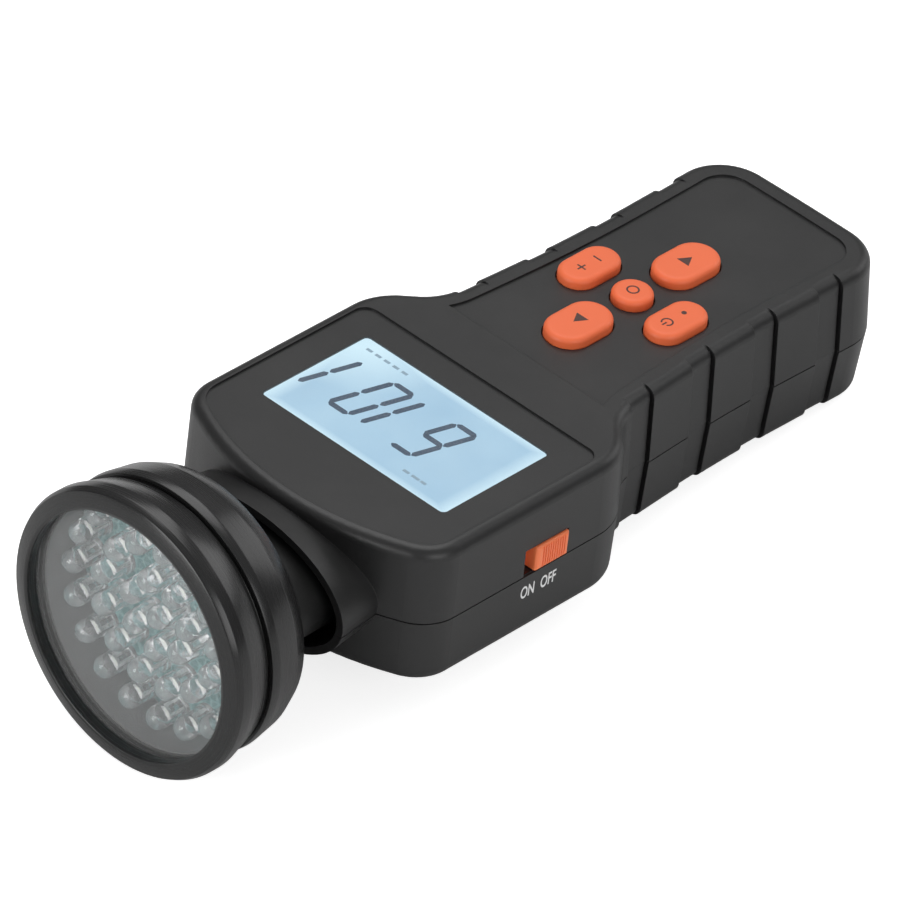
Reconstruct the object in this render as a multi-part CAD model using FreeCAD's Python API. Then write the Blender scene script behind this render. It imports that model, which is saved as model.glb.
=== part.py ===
import FreeCAD, Part
import math
import os

# Handheld digital stroboscope: display box, keyed handle and round lamp head.
# Millimetres. X across, Y along the body with the lamp pointing to -Y, Z out of the display face.
# The origin lies on the flat back of the case, under the middle of the display.

# Case: overall shape
CASE_DEPTH = 31.5
PARTING_Z = 14.5
BOX_HALF = 34.7
BOX_DRAFT = 0.2
NOSE_Y = -35.6
NOSE_DRAFT = 0.2
NOSE_RADIUS = 66.0
NOSE_SLOPE = 25.0
BOX_CORNER_RADIUS = 9.5
SHOULDER_RADIUS = 14.0
ROOT_HALF = 25.5
ROOT_DRAFT = 0.6
ROOT_Y = 35.6
ROOT_RADIUS = 12.0
WAIST_HALF = 23.6
WAIST_DRAFT = 1.1
WAIST_Y = 70.0
WAIST_RADIUS = 420.0
TAIL_HALF = 24.8
TAIL_DRAFT = 1.4
TAIL_Y = 117.0
TAIL_END_DRAFT = 0.4
TAIL_RADIUS = 700.0
TAIL_SLOPE = 1.0
TAIL_CORNER_RADIUS = 11.0
EDGE_RADIUS = 2.4
WALL = 2.2
TONGUE_HEIGHT = 1.5
TONGUE_THICK = 1.0
SEAM_WIDTH = 0.3
SEAM_DEPTH = 0.4

# Case: recessed panels and finger grips
PANEL_DEPTH = 0.5
BOX_PANEL_INSET = 2.7
BOX_PANEL_REAR_Y = 21.75
HANDLE_PANEL_INSET = 4.9
HANDLE_PANEL_FRONT_Y = 34.0
PANEL_CORNER_RADIUS = 3.0
GRIP_COUNT = 4
GRIP_FIRST_Y = 45.4
GRIP_PITCH = 18.8
GRIP_LENGTH = 6.8
GRIP_DEPTH = 0.7
GROOVE_WIDTH = 0.6
GROOVE_DEPTH = 1.3

# Display
WINDOW_X = 49.5
WINDOW_Y = 29.7
WINDOW_THICK = 1.2
WINDOW_CORNER_RADIUS = 1.2
WINDOW_LEDGE = 0.8
GLASS_X = 53.0
GLASS_Y = 35.0
GLASS_THICK = 2.2
HOLDER_RIM = 1.6
BACKLIGHT_THICK = 3.2
STRIP_WIDTH = 1.8
STRIP_LENGTH = 46.0

# Main board
BOARD_TOP_Z = 22.6
BOARD_THICK = 1.6
BOARD_SWITCH_OVERHANG = 1.0
BOARD_FRONT_Y = -26.0
BOARD_STEP_Y = 20.5
BOARD_HANDLE_HALF = 17.6
BOARD_REAR_Y = 90.0

# Keys: pitch of the cross, outline sizes and travel
KEY_CENTRE_Y = 64.6
KEY_PITCH_X = 11.8
KEY_PITCH_Y = 15.6
BIG_KEY = (10.2, 15.6)
SMALL_KEY = (8.6, 14.6)
ROUND_KEY = (8.6, 8.6)
KEY_RISE = 2.2
KEY_TRAVEL = 0.6
KEY_GAP = 0.3
KEY_FLANGE = 0.8
KEY_FLANGE_THICK = 1.0
KEY_EDGE_RADIUS = 1.2
KEY_STEM_RADIUS = 2.4
PLUNGER_RADIUS = 1.75
TACT_SIDE = 6.0
TACT_HEIGHT = 3.4

# Side slide switch
SLIDE_Y_LOW = -0.7
SLIDE_Y_HIGH = 11.4
SLIDE_HEIGHT = 6.2
SLIDE_TRAVEL = 2.0
KNOB_LENGTH = 9.0
KNOB_PROUD = 0.8
KNOB_EDGE_RADIUS = 0.8
PLATE_THICK = 1.2
KNOB_RIB_COUNT = 10
KNOB_RIB_DEPTH = 0.25
SWITCH_BODY_X = 6.0
SWITCH_BODY_Y = 12.0
SWITCH_BODY_Z = 5.6
LEVER_SIDE = 2.6

# Lamp axis, collar and neck
AXIS_Z = 16.0
COLLAR_ROOT = (24.5, 12.4)
COLLAR_MOUTH = (25.6, 14.4)
COLLAR_MOUTH_Y = -41.5
COLLAR_WALL = 1.8
NECK_HALF = (20.0, 11.0)
NECK_BORE_RADIUS = 6.0
NECK_FLANGE_STEP = 2.6
NECK_FLANGE_THICK = 1.8

# Lamp head: places along the lamp axis
HEAD_REAR_Y = -53.5
HEAD_SHOULDER_Y = -57.0
HEAD_WIDEST_Y = -62.4
HEAD_FRONT_Y = -64.3
SPIGOT_FRONT_Y = -70.0
BEZEL_REAR_Y = -65.1
BEZEL_RIDGE_REAR_Y = -71.2
BEZEL_RIDGE_FRONT_Y = -73.3
BEZEL_SHOULDER_Y = -74.4
BEZEL_FRONT_Y = -77.3

# Lamp head: its radius, and steps inwards from it
HEAD_RADIUS = 29.5
HEAD_REAR_STEP = 2.5
HEAD_SHOULDER_STEP = 0.9
HEAD_FRONT_STEP = 0.2
HEAD_WALL = 1.6
SPIGOT_STEP = 1.6
SPIGOT_WALL = 1.2
BOARD_LEDGE = 2.2

# Bezel ring: its radius stands out from the head, and the steps go inwards from it
BEZEL_PROUD = 1.0
BEZEL_REAR_STEP = 1.5
BEZEL_SHOULDER_STEP = 0.6
BEZEL_LIP_STEP = 2.4
BEZEL_MOUTH_STEP = 2.9
BEZEL_BORE_STEP = 3.9
THREAD_GAP = 0.08
SEAL_THICK = 0.6
LENS_THICK = 2.0

# Light source: number of lamps on each ring from the middle, and the first one's turn from the top
LED_RINGS = ((1, 0.0), (7, 0.5), (13, 0.0), (19, 0.38))
LED_RADIUS = 2.5
LED_FLANGE_RADIUS = 2.8
LED_FLANGE_THICK = 1.0
LED_HEIGHT = 8.4
LED_BOARD_THICK = 1.6
LED_BOARD_STANDOFF = 2.9
LINER_THICK = 0.4
LEAD_RADIUS = 0.7
LEAD_SPACING = 2.6

# Battery
BATTERY = (26.5, 48.5, 17.5)
BATTERY_FRONT_Y = 50.5
SNAP_THICK = 2.3
BAY_WALL = 1.4
BAY_GAP = 0.45
SHELF_THICK = 1.4
DOOR_HALF = 14.6
DOOR_TONGUE = 1.2
DOOR_THICK = 2.1
DOOR_GRIP_COUNT = 4

# Fasteners
BOSS_RADIUS = 3.2
SCREW_RADIUS = 1.45
SCREW_HEAD_RADIUS = 2.6
SCREW_HEAD_THICK = 1.8
SCREW_LENGTH = 20.0
SCREW_RECESS = 1.0
BOX_SCREWS = ((26.0, -22.8), (26.0, 25.0))
TAIL_SCREW = (10.0, 107.0)
BOARD_BOSS_RADIUS = 2.4
BOARD_SCREW_RADIUS = 0.95
BOARD_SCREW_HEAD = 1.9
BOARD_SCREW_HEAD_THICK = 1.2
NECK_SCREW_HEAD_THICK = 0.7
BOARD_SCREW_LENGTH = 6.0
BOARD_SCREWS = ((18.0, -22.5), (15.6, 85.0))
NECK_SCREW_X = 13.0

# Clearances
SCREW_GAP = 0.05
SLIP_GAP = 0.2
SEAT_GAP = 0.1

# Levels that follow from the sizes above
PANEL_Z = CASE_DEPTH - PANEL_DEPTH
CEILING_Z = PANEL_Z - WALL
BOARD_LOW_Z = BOARD_TOP_Z - BOARD_THICK
BACK_Z = 0.0
SPIGOT_RADIUS = HEAD_RADIUS - SPIGOT_STEP
SPIGOT_BORE = SPIGOT_RADIUS - SPIGOT_WALL
BEZEL_RADIUS = HEAD_RADIUS + BEZEL_PROUD


def vec(x, y, z):
    return FreeCAD.Vector(x, y, z)


def block(x0, x1, y0, y1, z0, z1):
    """Box between two corners."""
    return Part.makeBox(x1 - x0, y1 - y0, z1 - z0, vec(x0, y0, z0))


def post(x, y, radius, z0, z1):
    """Upright cylinder."""
    return Part.makeCylinder(radius, z1 - z0, vec(x, y, z0))


def rod(x, z, radius, y0, y1):
    """Cylinder along Y."""
    return Part.makeCylinder(radius, y1 - y0, vec(x, y0, z), vec(0, 1, 0))


def both_sides(points):
    """Each point and its mirror image across the middle plane."""
    return [(side * x, y) for x, y in points for side in (1, -1)]


def join(shapes):
    """One fused solid without needless seams."""
    solid = shapes[0]
    if len(shapes) > 1:
        solid = solid.fuse(shapes[1:])
    return solid.removeSplitter()


def rounded_wire(corners, inset, z):
    """Closed wire through corners (x, y, radius) in anticlockwise order, moved inwards, at height z."""
    count = len(corners)
    directions = []
    for i in range(count):
        start = corners[i]
        end = corners[(i + 1) % count]
        length = math.hypot(end[0] - start[0], end[1] - start[1])
        directions.append(((end[0] - start[0]) / length, (end[1] - start[1]) / length))
    tangents = []
    for i in range(count):
        before = directions[i - 1]
        after = directions[i]
        turn = math.atan2(before[0] * after[1] - before[1] * after[0],
                          before[0] * after[0] + before[1] * after[1])
        half = abs(turn) / 2
        inward = ((after[0] - before[0]), (after[1] - before[1]))
        size = math.hypot(*inward)
        sign = 1 if turn > 0 else -1
        centre_way = (inward[0] / size, inward[1] / size)
        shift = sign * inset / math.cos(half)
        x = corners[i][0] + centre_way[0] * shift
        y = corners[i][1] + centre_way[1] * shift
        radius = corners[i][2] - sign * inset
        reach = radius * math.tan(half)
        depth = radius / math.cos(half) - radius
        tangents.append((
            vec(x - before[0] * reach, y - before[1] * reach, z),
            vec(x + centre_way[0] * depth, y + centre_way[1] * depth, z),
            vec(x + after[0] * reach, y + after[1] * reach, z)))
    edges = []
    for i in range(count):
        edges.append(Part.Arc(*tangents[i]).toShape())
        edges.append(Part.makeLine(tangents[i][2], tangents[(i + 1) % count][0]))
    return Part.Wire(edges)


def plan_corners(level):
    """Case plan from level 0 at the parting plane to level 1 at the faces, anticlockwise."""
    box_half = BOX_HALF - level * BOX_DRAFT
    root_half = ROOT_HALF - level * ROOT_DRAFT
    waist_half = WAIST_HALF - level * WAIST_DRAFT
    tail_half = TAIL_HALF - level * TAIL_DRAFT
    slope = math.radians(NOSE_SLOPE)
    nose_y = NOSE_Y + level * NOSE_DRAFT - NOSE_RADIUS * (1 / math.cos(slope) - 1)
    tail_slope = math.radians(TAIL_SLOPE)
    tail_y = TAIL_Y - level * TAIL_END_DRAFT + TAIL_RADIUS * (1 / math.cos(tail_slope) - 1)
    side = [
        (box_half, nose_y + box_half * math.tan(slope), BOX_CORNER_RADIUS),
        (box_half, ROOT_Y - (box_half - root_half), SHOULDER_RADIUS),
        (root_half, ROOT_Y, ROOT_RADIUS),
        (waist_half, WAIST_Y, WAIST_RADIUS),
        (tail_half, tail_y - tail_half * math.tan(tail_slope), TAIL_CORNER_RADIUS)]
    other = [(-x, y, radius) for x, y, radius in reversed(side)]
    return [(0.0, nose_y, NOSE_RADIUS)] + side + [(0.0, tail_y, TAIL_RADIUS)] + other


def half_case(inset, face_z, end_z):
    """Drafted block from the parting plane towards a face of the case, inset in plan."""
    level = (end_z - PARTING_Z) / (face_z - PARTING_Z)
    near = rounded_wire(plan_corners(0), inset, PARTING_Z)
    end = rounded_wire(plan_corners(level), inset, end_z)
    return Part.makeLoft([near, end], True, True)


def rounded_half(inset, face_z):
    """Half of the case on one side of the parting plane, with its rounded face edge."""
    solid = half_case(inset, face_z, face_z)
    rim = [e for e in solid.Edges if all(abs(v.Z - face_z) < 1e-6 for v in e.Vertexes)]
    return solid.makeFillet(EDGE_RADIUS, rim)


def grip_cuts(face_z):
    """Finger grips: shallow scoops that end in a narrow groove, round both sides and their edges."""
    far = BOX_HALF
    bottom, top = sorted((PARTING_Z, face_z + math.copysign(1, face_z - PARTING_Z)))
    scoops = []
    grooves = []
    for i in range(GRIP_COUNT):
        end = GRIP_FIRST_Y + i * GRIP_PITCH
        for side in (1, -1):
            low, high = sorted((side * far, side * WAIST_HALF / 2))
            scoops.append(block(low, high, end - GRIP_LENGTH, end, bottom, top))
            grooves.append(block(low, high, end - GROOVE_WIDTH, end, bottom, top))
    scoop = Part.makeCompound(scoops).cut(rounded_half(GRIP_DEPTH, face_z))
    groove = Part.makeCompound(grooves).cut(rounded_half(GROOVE_DEPTH, face_z))
    return scoop, groove


def oval(half, y):
    """Upright elliptical wire round the lamp axis."""
    centre = vec(0, y, AXIS_Z)
    ellipse = Part.Ellipse(vec(half[0], y, AXIS_Z), vec(0, y, AXIS_Z + half[1]), centre)
    return Part.Wire([ellipse.toShape()])


def oval_block(rear, rear_y, front, front_y):
    """Solid between two ovals."""
    return Part.makeLoft([oval(rear, rear_y), oval(front, front_y)], True, True)


def shrunk(half, amount):
    return (half[0] - amount, half[1] - amount)


def nose_bow(reach, inset=0.0):
    """How far the curved front wall, or its inside, has fallen back at a distance from the middle."""
    radius = NOSE_RADIUS - inset
    return radius - math.sqrt(radius ** 2 - reach ** 2)


def collar():
    """Flared collar that hoods the neck, before it is split between the two shells."""
    root_y = NOSE_Y + nose_bow(COLLAR_ROOT[0]) + WALL / 2
    outer = oval_block(COLLAR_ROOT, root_y, COLLAR_MOUTH, COLLAR_MOUTH_Y)
    inner_root = shrunk(COLLAR_ROOT, COLLAR_WALL)
    inner_mouth = shrunk(COLLAR_MOUTH, COLLAR_WALL)
    return outer, oval_block(inner_root, root_y, inner_mouth, COLLAR_MOUTH_Y)


def revolved(profile):
    """Solid turned round the lamp axis from (y, radius) points."""
    points = [vec(radius, y, AXIS_Z) for y, radius in profile]
    face = Part.Face(Part.makePolygon(points + points[:1]))
    return face.revolve(vec(0, 0, AXIS_Z), vec(0, 1, 0), 360)


def pill(size, x, y, z0, z1, grow=0.0):
    """Upright block with round ends along Y."""
    radius = size[0] / 2 + grow
    reach = (size[1] - size[0]) / 2
    if reach <= 0:
        return post(x, y, radius, z0, z1)
    ends = [post(x, y + reach, radius, z0, z1), post(x, y - reach, radius, z0, z1)]
    middle = block(x - radius, x + radius, y - reach, y + reach, z0, z1)
    return join([middle] + ends)


def round_block(size_x, size_y, corner, z0, z1):
    """Upright block round the origin with rounded corners."""
    x = size_x / 2
    y = size_y / 2
    wire = rounded_wire([(x, -y, corner), (x, y, corner), (-x, y, corner), (-x, -y, corner)], 0, z0)
    return Part.Face(wire).extrude(vec(0, 0, z1 - z0))


KEYS = {
    "up": (BIG_KEY, 0.0, KEY_CENTRE_Y - KEY_PITCH_Y),
    "down": (BIG_KEY, 0.0, KEY_CENTRE_Y + KEY_PITCH_Y),
    "fine": (SMALL_KEY, -KEY_PITCH_X, KEY_CENTRE_Y),
    "power": (SMALL_KEY, KEY_PITCH_X, KEY_CENTRE_Y),
    "memory": (ROUND_KEY, 0.0, KEY_CENTRE_Y)}


def panel_recesses():
    """Two shallow recesses in the display face: one on the box, one along the handle."""
    far = 2 * BOX_HALF
    box_plan = rounded_wire(plan_corners(1), BOX_PANEL_INSET, PANEL_Z)
    box_panel = Part.Face(box_plan).extrude(vec(0, 0, 2 * PANEL_DEPTH))
    half = BOX_HALF - BOX_DRAFT - BOX_PANEL_INSET
    front = block(-far, far, 2 * NOSE_Y, BOX_PANEL_REAR_Y - PANEL_CORNER_RADIUS, 0, 2 * CASE_DEPTH)
    rear = block(-half + PANEL_CORNER_RADIUS, half - PANEL_CORNER_RADIUS, 0, BOX_PANEL_REAR_Y,
                 0, 2 * CASE_DEPTH)
    corners = [post(side * (half - PANEL_CORNER_RADIUS), BOX_PANEL_REAR_Y - PANEL_CORNER_RADIUS,
                    PANEL_CORNER_RADIUS, 0, 2 * CASE_DEPTH) for side in (1, -1)]
    box_panel = box_panel.common(join([front, rear] + corners))
    handle_plan = rounded_wire(plan_corners(1), HANDLE_PANEL_INSET, PANEL_Z)
    handle_panel = Part.Face(handle_plan).extrude(vec(0, 0, 2 * PANEL_DEPTH))
    behind = block(-far, far, HANDLE_PANEL_FRONT_Y, 2 * TAIL_Y, 0, 2 * CASE_DEPTH)
    return [box_panel, handle_panel.common(behind)]


def tongue(gap):
    """Locating lip under the front shell; a positive gap gives the groove that takes it."""
    z0 = PARTING_Z - TONGUE_HEIGHT - gap
    outer = Part.Face(rounded_wire(plan_corners(0), WALL - TONGUE_THICK - gap, z0))
    inner = Part.Face(rounded_wire(plan_corners(0), WALL + SLIP_GAP, z0))
    rise = vec(0, 0, TONGUE_HEIGHT + gap)
    ring = outer.extrude(rise).cut(inner.extrude(rise))
    lamp_side = block(-BOX_HALF, BOX_HALF, 2 * NOSE_Y, NOSE_Y + 12, 0, CASE_DEPTH)
    switch_side = block(WAIST_HALF, 2 * BOX_HALF, SLIDE_Y_LOW - 4, SLIDE_Y_HIGH + 5, 0, CASE_DEPTH)
    return ring.cut([lamp_side, switch_side])


def seam():
    """Shadow line round the parting plane, cut into the back shell and its half of the collar."""
    z0 = PARTING_Z - SEAM_WIDTH
    outside = block(-2 * BOX_HALF, 2 * BOX_HALF, 2 * HEAD_REAR_Y, 2 * TAIL_Y, z0, PARTING_Z + 1)
    core = Part.Face(rounded_wire(plan_corners(0), SEAM_DEPTH, z0)).extrude(vec(0, 0, SEAM_WIDTH + 1))
    hood = oval_block(shrunk(COLLAR_ROOT, SEAM_DEPTH), NOSE_Y + nose_bow(COLLAR_ROOT[0]) + WALL / 2,
                      shrunk(COLLAR_MOUTH, SEAM_DEPTH), COLLAR_MOUTH_Y - 1)
    return outside.cut([core, hood])


def switch_window():
    """Opening for the slide knob, cut up from the parting plane."""
    return block(WAIST_HALF, 2 * BOX_HALF, SLIDE_Y_LOW, SLIDE_Y_HIGH,
                 PARTING_Z - 1, PARTING_Z + SLIDE_HEIGHT)


def neck_opening():
    return oval_block(shrunk(NECK_HALF, -SLIP_GAP), NOSE_Y + 8, shrunk(NECK_HALF, -SLIP_GAP), NOSE_Y - 2)


def front_shell():
    scoop, groove = grip_cuts(CASE_DEPTH)
    outer = rounded_half(0, CASE_DEPTH).cut(scoop).cut(groove)
    cavity = half_case(WALL, CASE_DEPTH, CEILING_Z)
    collar_outer, collar_inner = collar()
    above = block(-2 * BOX_HALF, 2 * BOX_HALF, 2 * HEAD_REAR_Y, 2 * TAIL_Y, PARTING_Z, 2 * CASE_DEPTH)
    solid = join([outer, collar_outer.common(above)])
    front_wall = outer.cut(cavity)
    solid = solid.cut(cavity).cut(collar_inner.cut(front_wall))
    bosses = [post(x, y, BOSS_RADIUS, PARTING_Z, CEILING_Z + 1) for x, y in both_sides(BOX_SCREWS)]
    bosses += [post(x, y, BOSS_RADIUS, PARTING_Z, CEILING_Z + 1) for x, y in both_sides([TAIL_SCREW])]
    bosses += [post(x, y, BOARD_BOSS_RADIUS, BOARD_TOP_Z, CEILING_Z + 1)
               for x, y in both_sides(BOARD_SCREWS)]
    solid = join([solid, tongue(0)] + bosses)
    cuts = panel_recesses()
    cuts.append(round_block(WINDOW_X, WINDOW_Y, WINDOW_CORNER_RADIUS, PANEL_Z - WINDOW_THICK, CASE_DEPTH))
    cuts.append(round_block(WINDOW_X - 2 * WINDOW_LEDGE, WINDOW_Y - 2 * WINDOW_LEDGE,
                            WINDOW_CORNER_RADIUS / 2, CEILING_Z - 1, CASE_DEPTH))
    for size, x, y in KEYS.values():
        cuts.append(pill(size, x, y, CEILING_Z - 1, CASE_DEPTH, KEY_GAP))
    cuts += [switch_window(), neck_opening()]
    for x, y in both_sides(BOX_SCREWS):
        cuts.append(post(x, y, SCREW_RADIUS + SCREW_GAP, PARTING_Z - 1, screw_tip(SCREW_RECESS) + 1))
    for x, y in both_sides([TAIL_SCREW]):
        cuts.append(post(x, y, SCREW_RADIUS + SCREW_GAP, PARTING_Z - 1, screw_tip(tail_recess()) + 1))
    for x, y in both_sides(BOARD_SCREWS):
        cuts.append(post(x, y, BOARD_SCREW_RADIUS + SCREW_GAP, BOARD_TOP_Z - 1, board_screw_tip() + 0.5))
    return solid.cut(cuts)


def screw_tip(recess):
    return recess + SCREW_HEAD_THICK + SCREW_LENGTH


def tail_recess():
    """The tail screws sit over the battery door, so their heads lie deeper."""
    return DOOR_THICK + 2 * SLIP_GAP


def board_screw_tip():
    return BOARD_LOW_Z + BOARD_SCREW_LENGTH


def battery_box(gap, top):
    """Room of the battery and its snap, with a gap on every side."""
    half = BATTERY[0] / 2 + gap
    low = DOOR_THICK + SLIP_GAP
    return block(-half, half, BATTERY_FRONT_Y - SNAP_THICK - 2 - gap, BATTERY_FRONT_Y + BATTERY[1] + gap,
                 low, top)


def door_track(gap):
    """The door's sliding section: a face plate and two wider tongues."""
    front = BATTERY_FRONT_Y - 4.0 - gap
    plate = block(-DOOR_HALF - gap, DOOR_HALF + gap, front, 2 * TAIL_Y, -1, DOOR_THICK + gap)
    wide = DOOR_HALF + DOOR_TONGUE + gap
    tongues = block(-wide, wide, front, 2 * TAIL_Y, DOOR_THICK / 2 - gap / 2, DOOR_THICK + gap)
    return join([plate, tongues])


def back_shell():
    scoop, groove = grip_cuts(BACK_Z)
    outer = rounded_half(0, BACK_Z).cut(scoop).cut(groove)
    cavity = half_case(WALL, BACK_Z, WALL)
    collar_outer, collar_inner = collar()
    below = block(-2 * BOX_HALF, 2 * BOX_HALF, 2 * HEAD_REAR_Y, 2 * TAIL_Y, -CASE_DEPTH, PARTING_Z)
    solid = join([outer, collar_outer.common(below)])
    front_wall = outer.cut(cavity)
    solid = solid.cut(cavity).cut(collar_inner.cut(front_wall))
    inside = half_case(WALL / 2, BACK_Z, WALL / 2)
    bay = battery_box(BAY_GAP, BOARD_LOW_Z)
    bay_walls = battery_box(BAY_GAP + BAY_WALL, BOARD_LOW_Z - BOARD_SCREW_HEAD_THICK - 2 * SLIP_GAP)
    shelf = block(-BOX_HALF, BOX_HALF, bay_walls.BoundBox.YMin, 2 * TAIL_Y, WALL - 1, WALL + SHELF_THICK)
    posts = [post(x, y, BOSS_RADIUS, 0, PARTING_Z) for x, y in both_sides(BOX_SCREWS)]
    posts += [post(x, y, BOSS_RADIUS, 0, PARTING_Z) for x, y in both_sides([TAIL_SCREW])]
    ribs = []
    for side in (1, -1):
        low, high = sorted((side * 12.0, side * 20.0))
        ribs.append(block(low, high, neck_flange_rear() + SEAT_GAP, neck_flange_rear() + SEAT_GAP + 1.6,
                          1, PARTING_Z - 4))
    inner_parts = [part.common(inside) for part in [shelf] + posts + ribs]
    solid = join([solid] + inner_parts + [bay_walls.cut(bay)])
    cuts = [bay, door_track(SLIP_GAP), tongue(SEAT_GAP), neck_opening(), seam()]
    for x, y in both_sides(BOX_SCREWS):
        cuts.append(post(x, y, SCREW_HEAD_RADIUS + SLIP_GAP, -1, SCREW_RECESS + SCREW_HEAD_THICK))
        cuts.append(post(x, y, SCREW_RADIUS + SCREW_GAP, -1, PARTING_Z + 1))
    for x, y in both_sides([TAIL_SCREW]):
        cuts.append(post(x, y, SCREW_HEAD_RADIUS + SLIP_GAP, -1, tail_recess() + SCREW_HEAD_THICK))
        cuts.append(post(x, y, SCREW_RADIUS + SCREW_GAP, -1, PARTING_Z + 1))
    lead_slot = block(-LEAD_SPACING - 2, LEAD_SPACING + 2, bay_walls.BoundBox.YMin - 1,
                      bay.BoundBox.YMin + 1, PARTING_Z / 2, CASE_DEPTH)
    cuts.append(lead_slot)
    return solid.cut(cuts)


def battery_door():
    solid = door_track(0).common(rounded_half(0, BACK_Z))
    grips = []
    for i in range(DOOR_GRIP_COUNT):
        y = BATTERY_FRONT_Y + 4 + 2.5 * i
        grips.append(block(-DOOR_HALF / 2, DOOR_HALF / 2, y, y + 1.2, -1, 0.5))
    return solid.cut(grips)


def neck_flange_rear():
    """The flange bears on the inside of the curved front wall at its widest points."""
    inside_y = NOSE_Y + NOSE_DRAFT + WALL + nose_bow(neck_flange_half()[0], WALL)
    return inside_y + SEAT_GAP + NECK_FLANGE_THICK


def neck_flange_half():
    """The flange stands out sideways and fills the height between the case's floor and ceiling."""
    height = min(CEILING_Z - AXIS_Z, AXIS_Z - WALL) - 2 * SLIP_GAP
    return (NECK_HALF[0] + NECK_FLANGE_STEP, height)


def neck():
    body = oval_block(NECK_HALF, neck_flange_rear(), NECK_HALF, HEAD_REAR_Y)
    flange = oval_block(neck_flange_half(), neck_flange_rear(), neck_flange_half(),
                        neck_flange_rear() - NECK_FLANGE_THICK)
    solid = join([body, flange])
    bore = rod(0, AXIS_Z, NECK_BORE_RADIUS, HEAD_REAR_Y - 1, neck_flange_rear() + 1)
    pilots = [rod(side * NECK_SCREW_X, AXIS_Z, BOARD_SCREW_RADIUS + SCREW_GAP, HEAD_REAR_Y - 1,
                  HEAD_REAR_Y + BOARD_SCREW_LENGTH) for side in (1, -1)]
    return solid.cut([bore] + pilots)


def neck_screws():
    seat_y = HEAD_REAR_Y - HEAD_WALL
    screws = []
    for side in (1, -1):
        shank = rod(side * NECK_SCREW_X, AXIS_Z, BOARD_SCREW_RADIUS, seat_y, seat_y + BOARD_SCREW_LENGTH)
        head = rod(side * NECK_SCREW_X, AXIS_Z, SCREW_HEAD_RADIUS, seat_y - NECK_SCREW_HEAD_THICK,
                   seat_y)
        screws.append(join([shank, head]))
    return Part.makeCompound(screws)


def head_housing():
    ledge_y = HEAD_REAR_Y - HEAD_WALL - LED_BOARD_STANDOFF
    inner = SPIGOT_BORE
    solid = revolved([
        (HEAD_REAR_Y, NECK_BORE_RADIUS),
        (HEAD_REAR_Y, HEAD_RADIUS - HEAD_REAR_STEP),
        (HEAD_SHOULDER_Y, HEAD_RADIUS - HEAD_SHOULDER_STEP),
        (HEAD_WIDEST_Y, HEAD_RADIUS),
        (HEAD_FRONT_Y, HEAD_RADIUS - HEAD_FRONT_STEP),
        (HEAD_FRONT_Y, SPIGOT_RADIUS),
        (SPIGOT_FRONT_Y, SPIGOT_RADIUS),
        (SPIGOT_FRONT_Y, inner),
        (ledge_y, inner),
        (ledge_y, inner - BOARD_LEDGE),
        (HEAD_REAR_Y - HEAD_WALL, inner - BOARD_LEDGE),
        (HEAD_REAR_Y - HEAD_WALL, NECK_BORE_RADIUS)])
    holes = [rod(side * NECK_SCREW_X, AXIS_Z, BOARD_SCREW_RADIUS + SCREW_GAP, HEAD_REAR_Y - 4,
                 HEAD_REAR_Y + 1) for side in (1, -1)]
    return solid.cut(holes)


def bezel_ring():
    lens_front = SPIGOT_FRONT_Y - SEAL_THICK - LENS_THICK
    thread = SPIGOT_RADIUS + THREAD_GAP
    lip = BEZEL_RADIUS - BEZEL_LIP_STEP
    return revolved([
        (BEZEL_REAR_Y, thread),
        (BEZEL_REAR_Y, BEZEL_RADIUS - BEZEL_REAR_STEP),
        (BEZEL_RIDGE_REAR_Y, BEZEL_RADIUS),
        (BEZEL_RIDGE_FRONT_Y, BEZEL_RADIUS),
        (BEZEL_SHOULDER_Y, BEZEL_RADIUS - BEZEL_SHOULDER_STEP),
        (BEZEL_FRONT_Y + 0.3, lip + 0.1),
        (BEZEL_FRONT_Y, lip - 0.3),
        (BEZEL_FRONT_Y + 0.3, BEZEL_RADIUS - BEZEL_MOUTH_STEP),
        (lens_front, BEZEL_RADIUS - BEZEL_BORE_STEP),
        (lens_front, thread)])


def lens():
    rear = SPIGOT_FRONT_Y - SEAL_THICK
    return rod(0, AXIS_Z, SPIGOT_RADIUS - SEAT_GAP, rear - LENS_THICK, rear)


def lens_seal():
    ring = rod(0, AXIS_Z, SPIGOT_RADIUS - SEAT_GAP, SPIGOT_FRONT_Y - SEAL_THICK, SPIGOT_FRONT_Y)
    hole = rod(0, AXIS_Z, SPIGOT_BORE, SPIGOT_FRONT_Y - SEAL_THICK - 1, SPIGOT_FRONT_Y + 1)
    return ring.cut(hole)


def led_base_y():
    return HEAD_REAR_Y - HEAD_WALL - LED_BOARD_STANDOFF - LED_BOARD_THICK


def led_board():
    y = led_base_y()
    return rod(0, AXIS_Z, SPIGOT_BORE - SLIP_GAP, y, y + LED_BOARD_THICK)


def liner_radius():
    return SPIGOT_BORE - SLIP_GAP / 2


def reflector_wall():
    outer = liner_radius()
    ring = rod(0, AXIS_Z, outer, SPIGOT_FRONT_Y, led_base_y())
    return ring.cut(rod(0, AXIS_Z, outer - LINER_THICK, SPIGOT_FRONT_Y - 1, led_base_y() + 1))


def leds():
    base = led_base_y()
    outer_ring = liner_radius() - LINER_THICK - SLIP_GAP - LED_FLANGE_RADIUS
    lamps = []
    for ring, (count, start) in enumerate(LED_RINGS):
        ring_radius = outer_ring * ring / (len(LED_RINGS) - 1)
        for i in range(count):
            angle = 2 * math.pi * (start + i / count)
            x = ring_radius * math.sin(angle)
            z = AXIS_Z + ring_radius * math.cos(angle)
            dome_y = base - LED_HEIGHT + LED_RADIUS
            flange = rod(x, z, LED_FLANGE_RADIUS, base - LED_FLANGE_THICK, base)
            barrel = rod(x, z, LED_RADIUS, dome_y, base)
            dome = Part.makeSphere(LED_RADIUS, vec(x, dome_y, z))
            lamps.append(join([flange, barrel, dome]))
    return Part.makeCompound(lamps)


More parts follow.
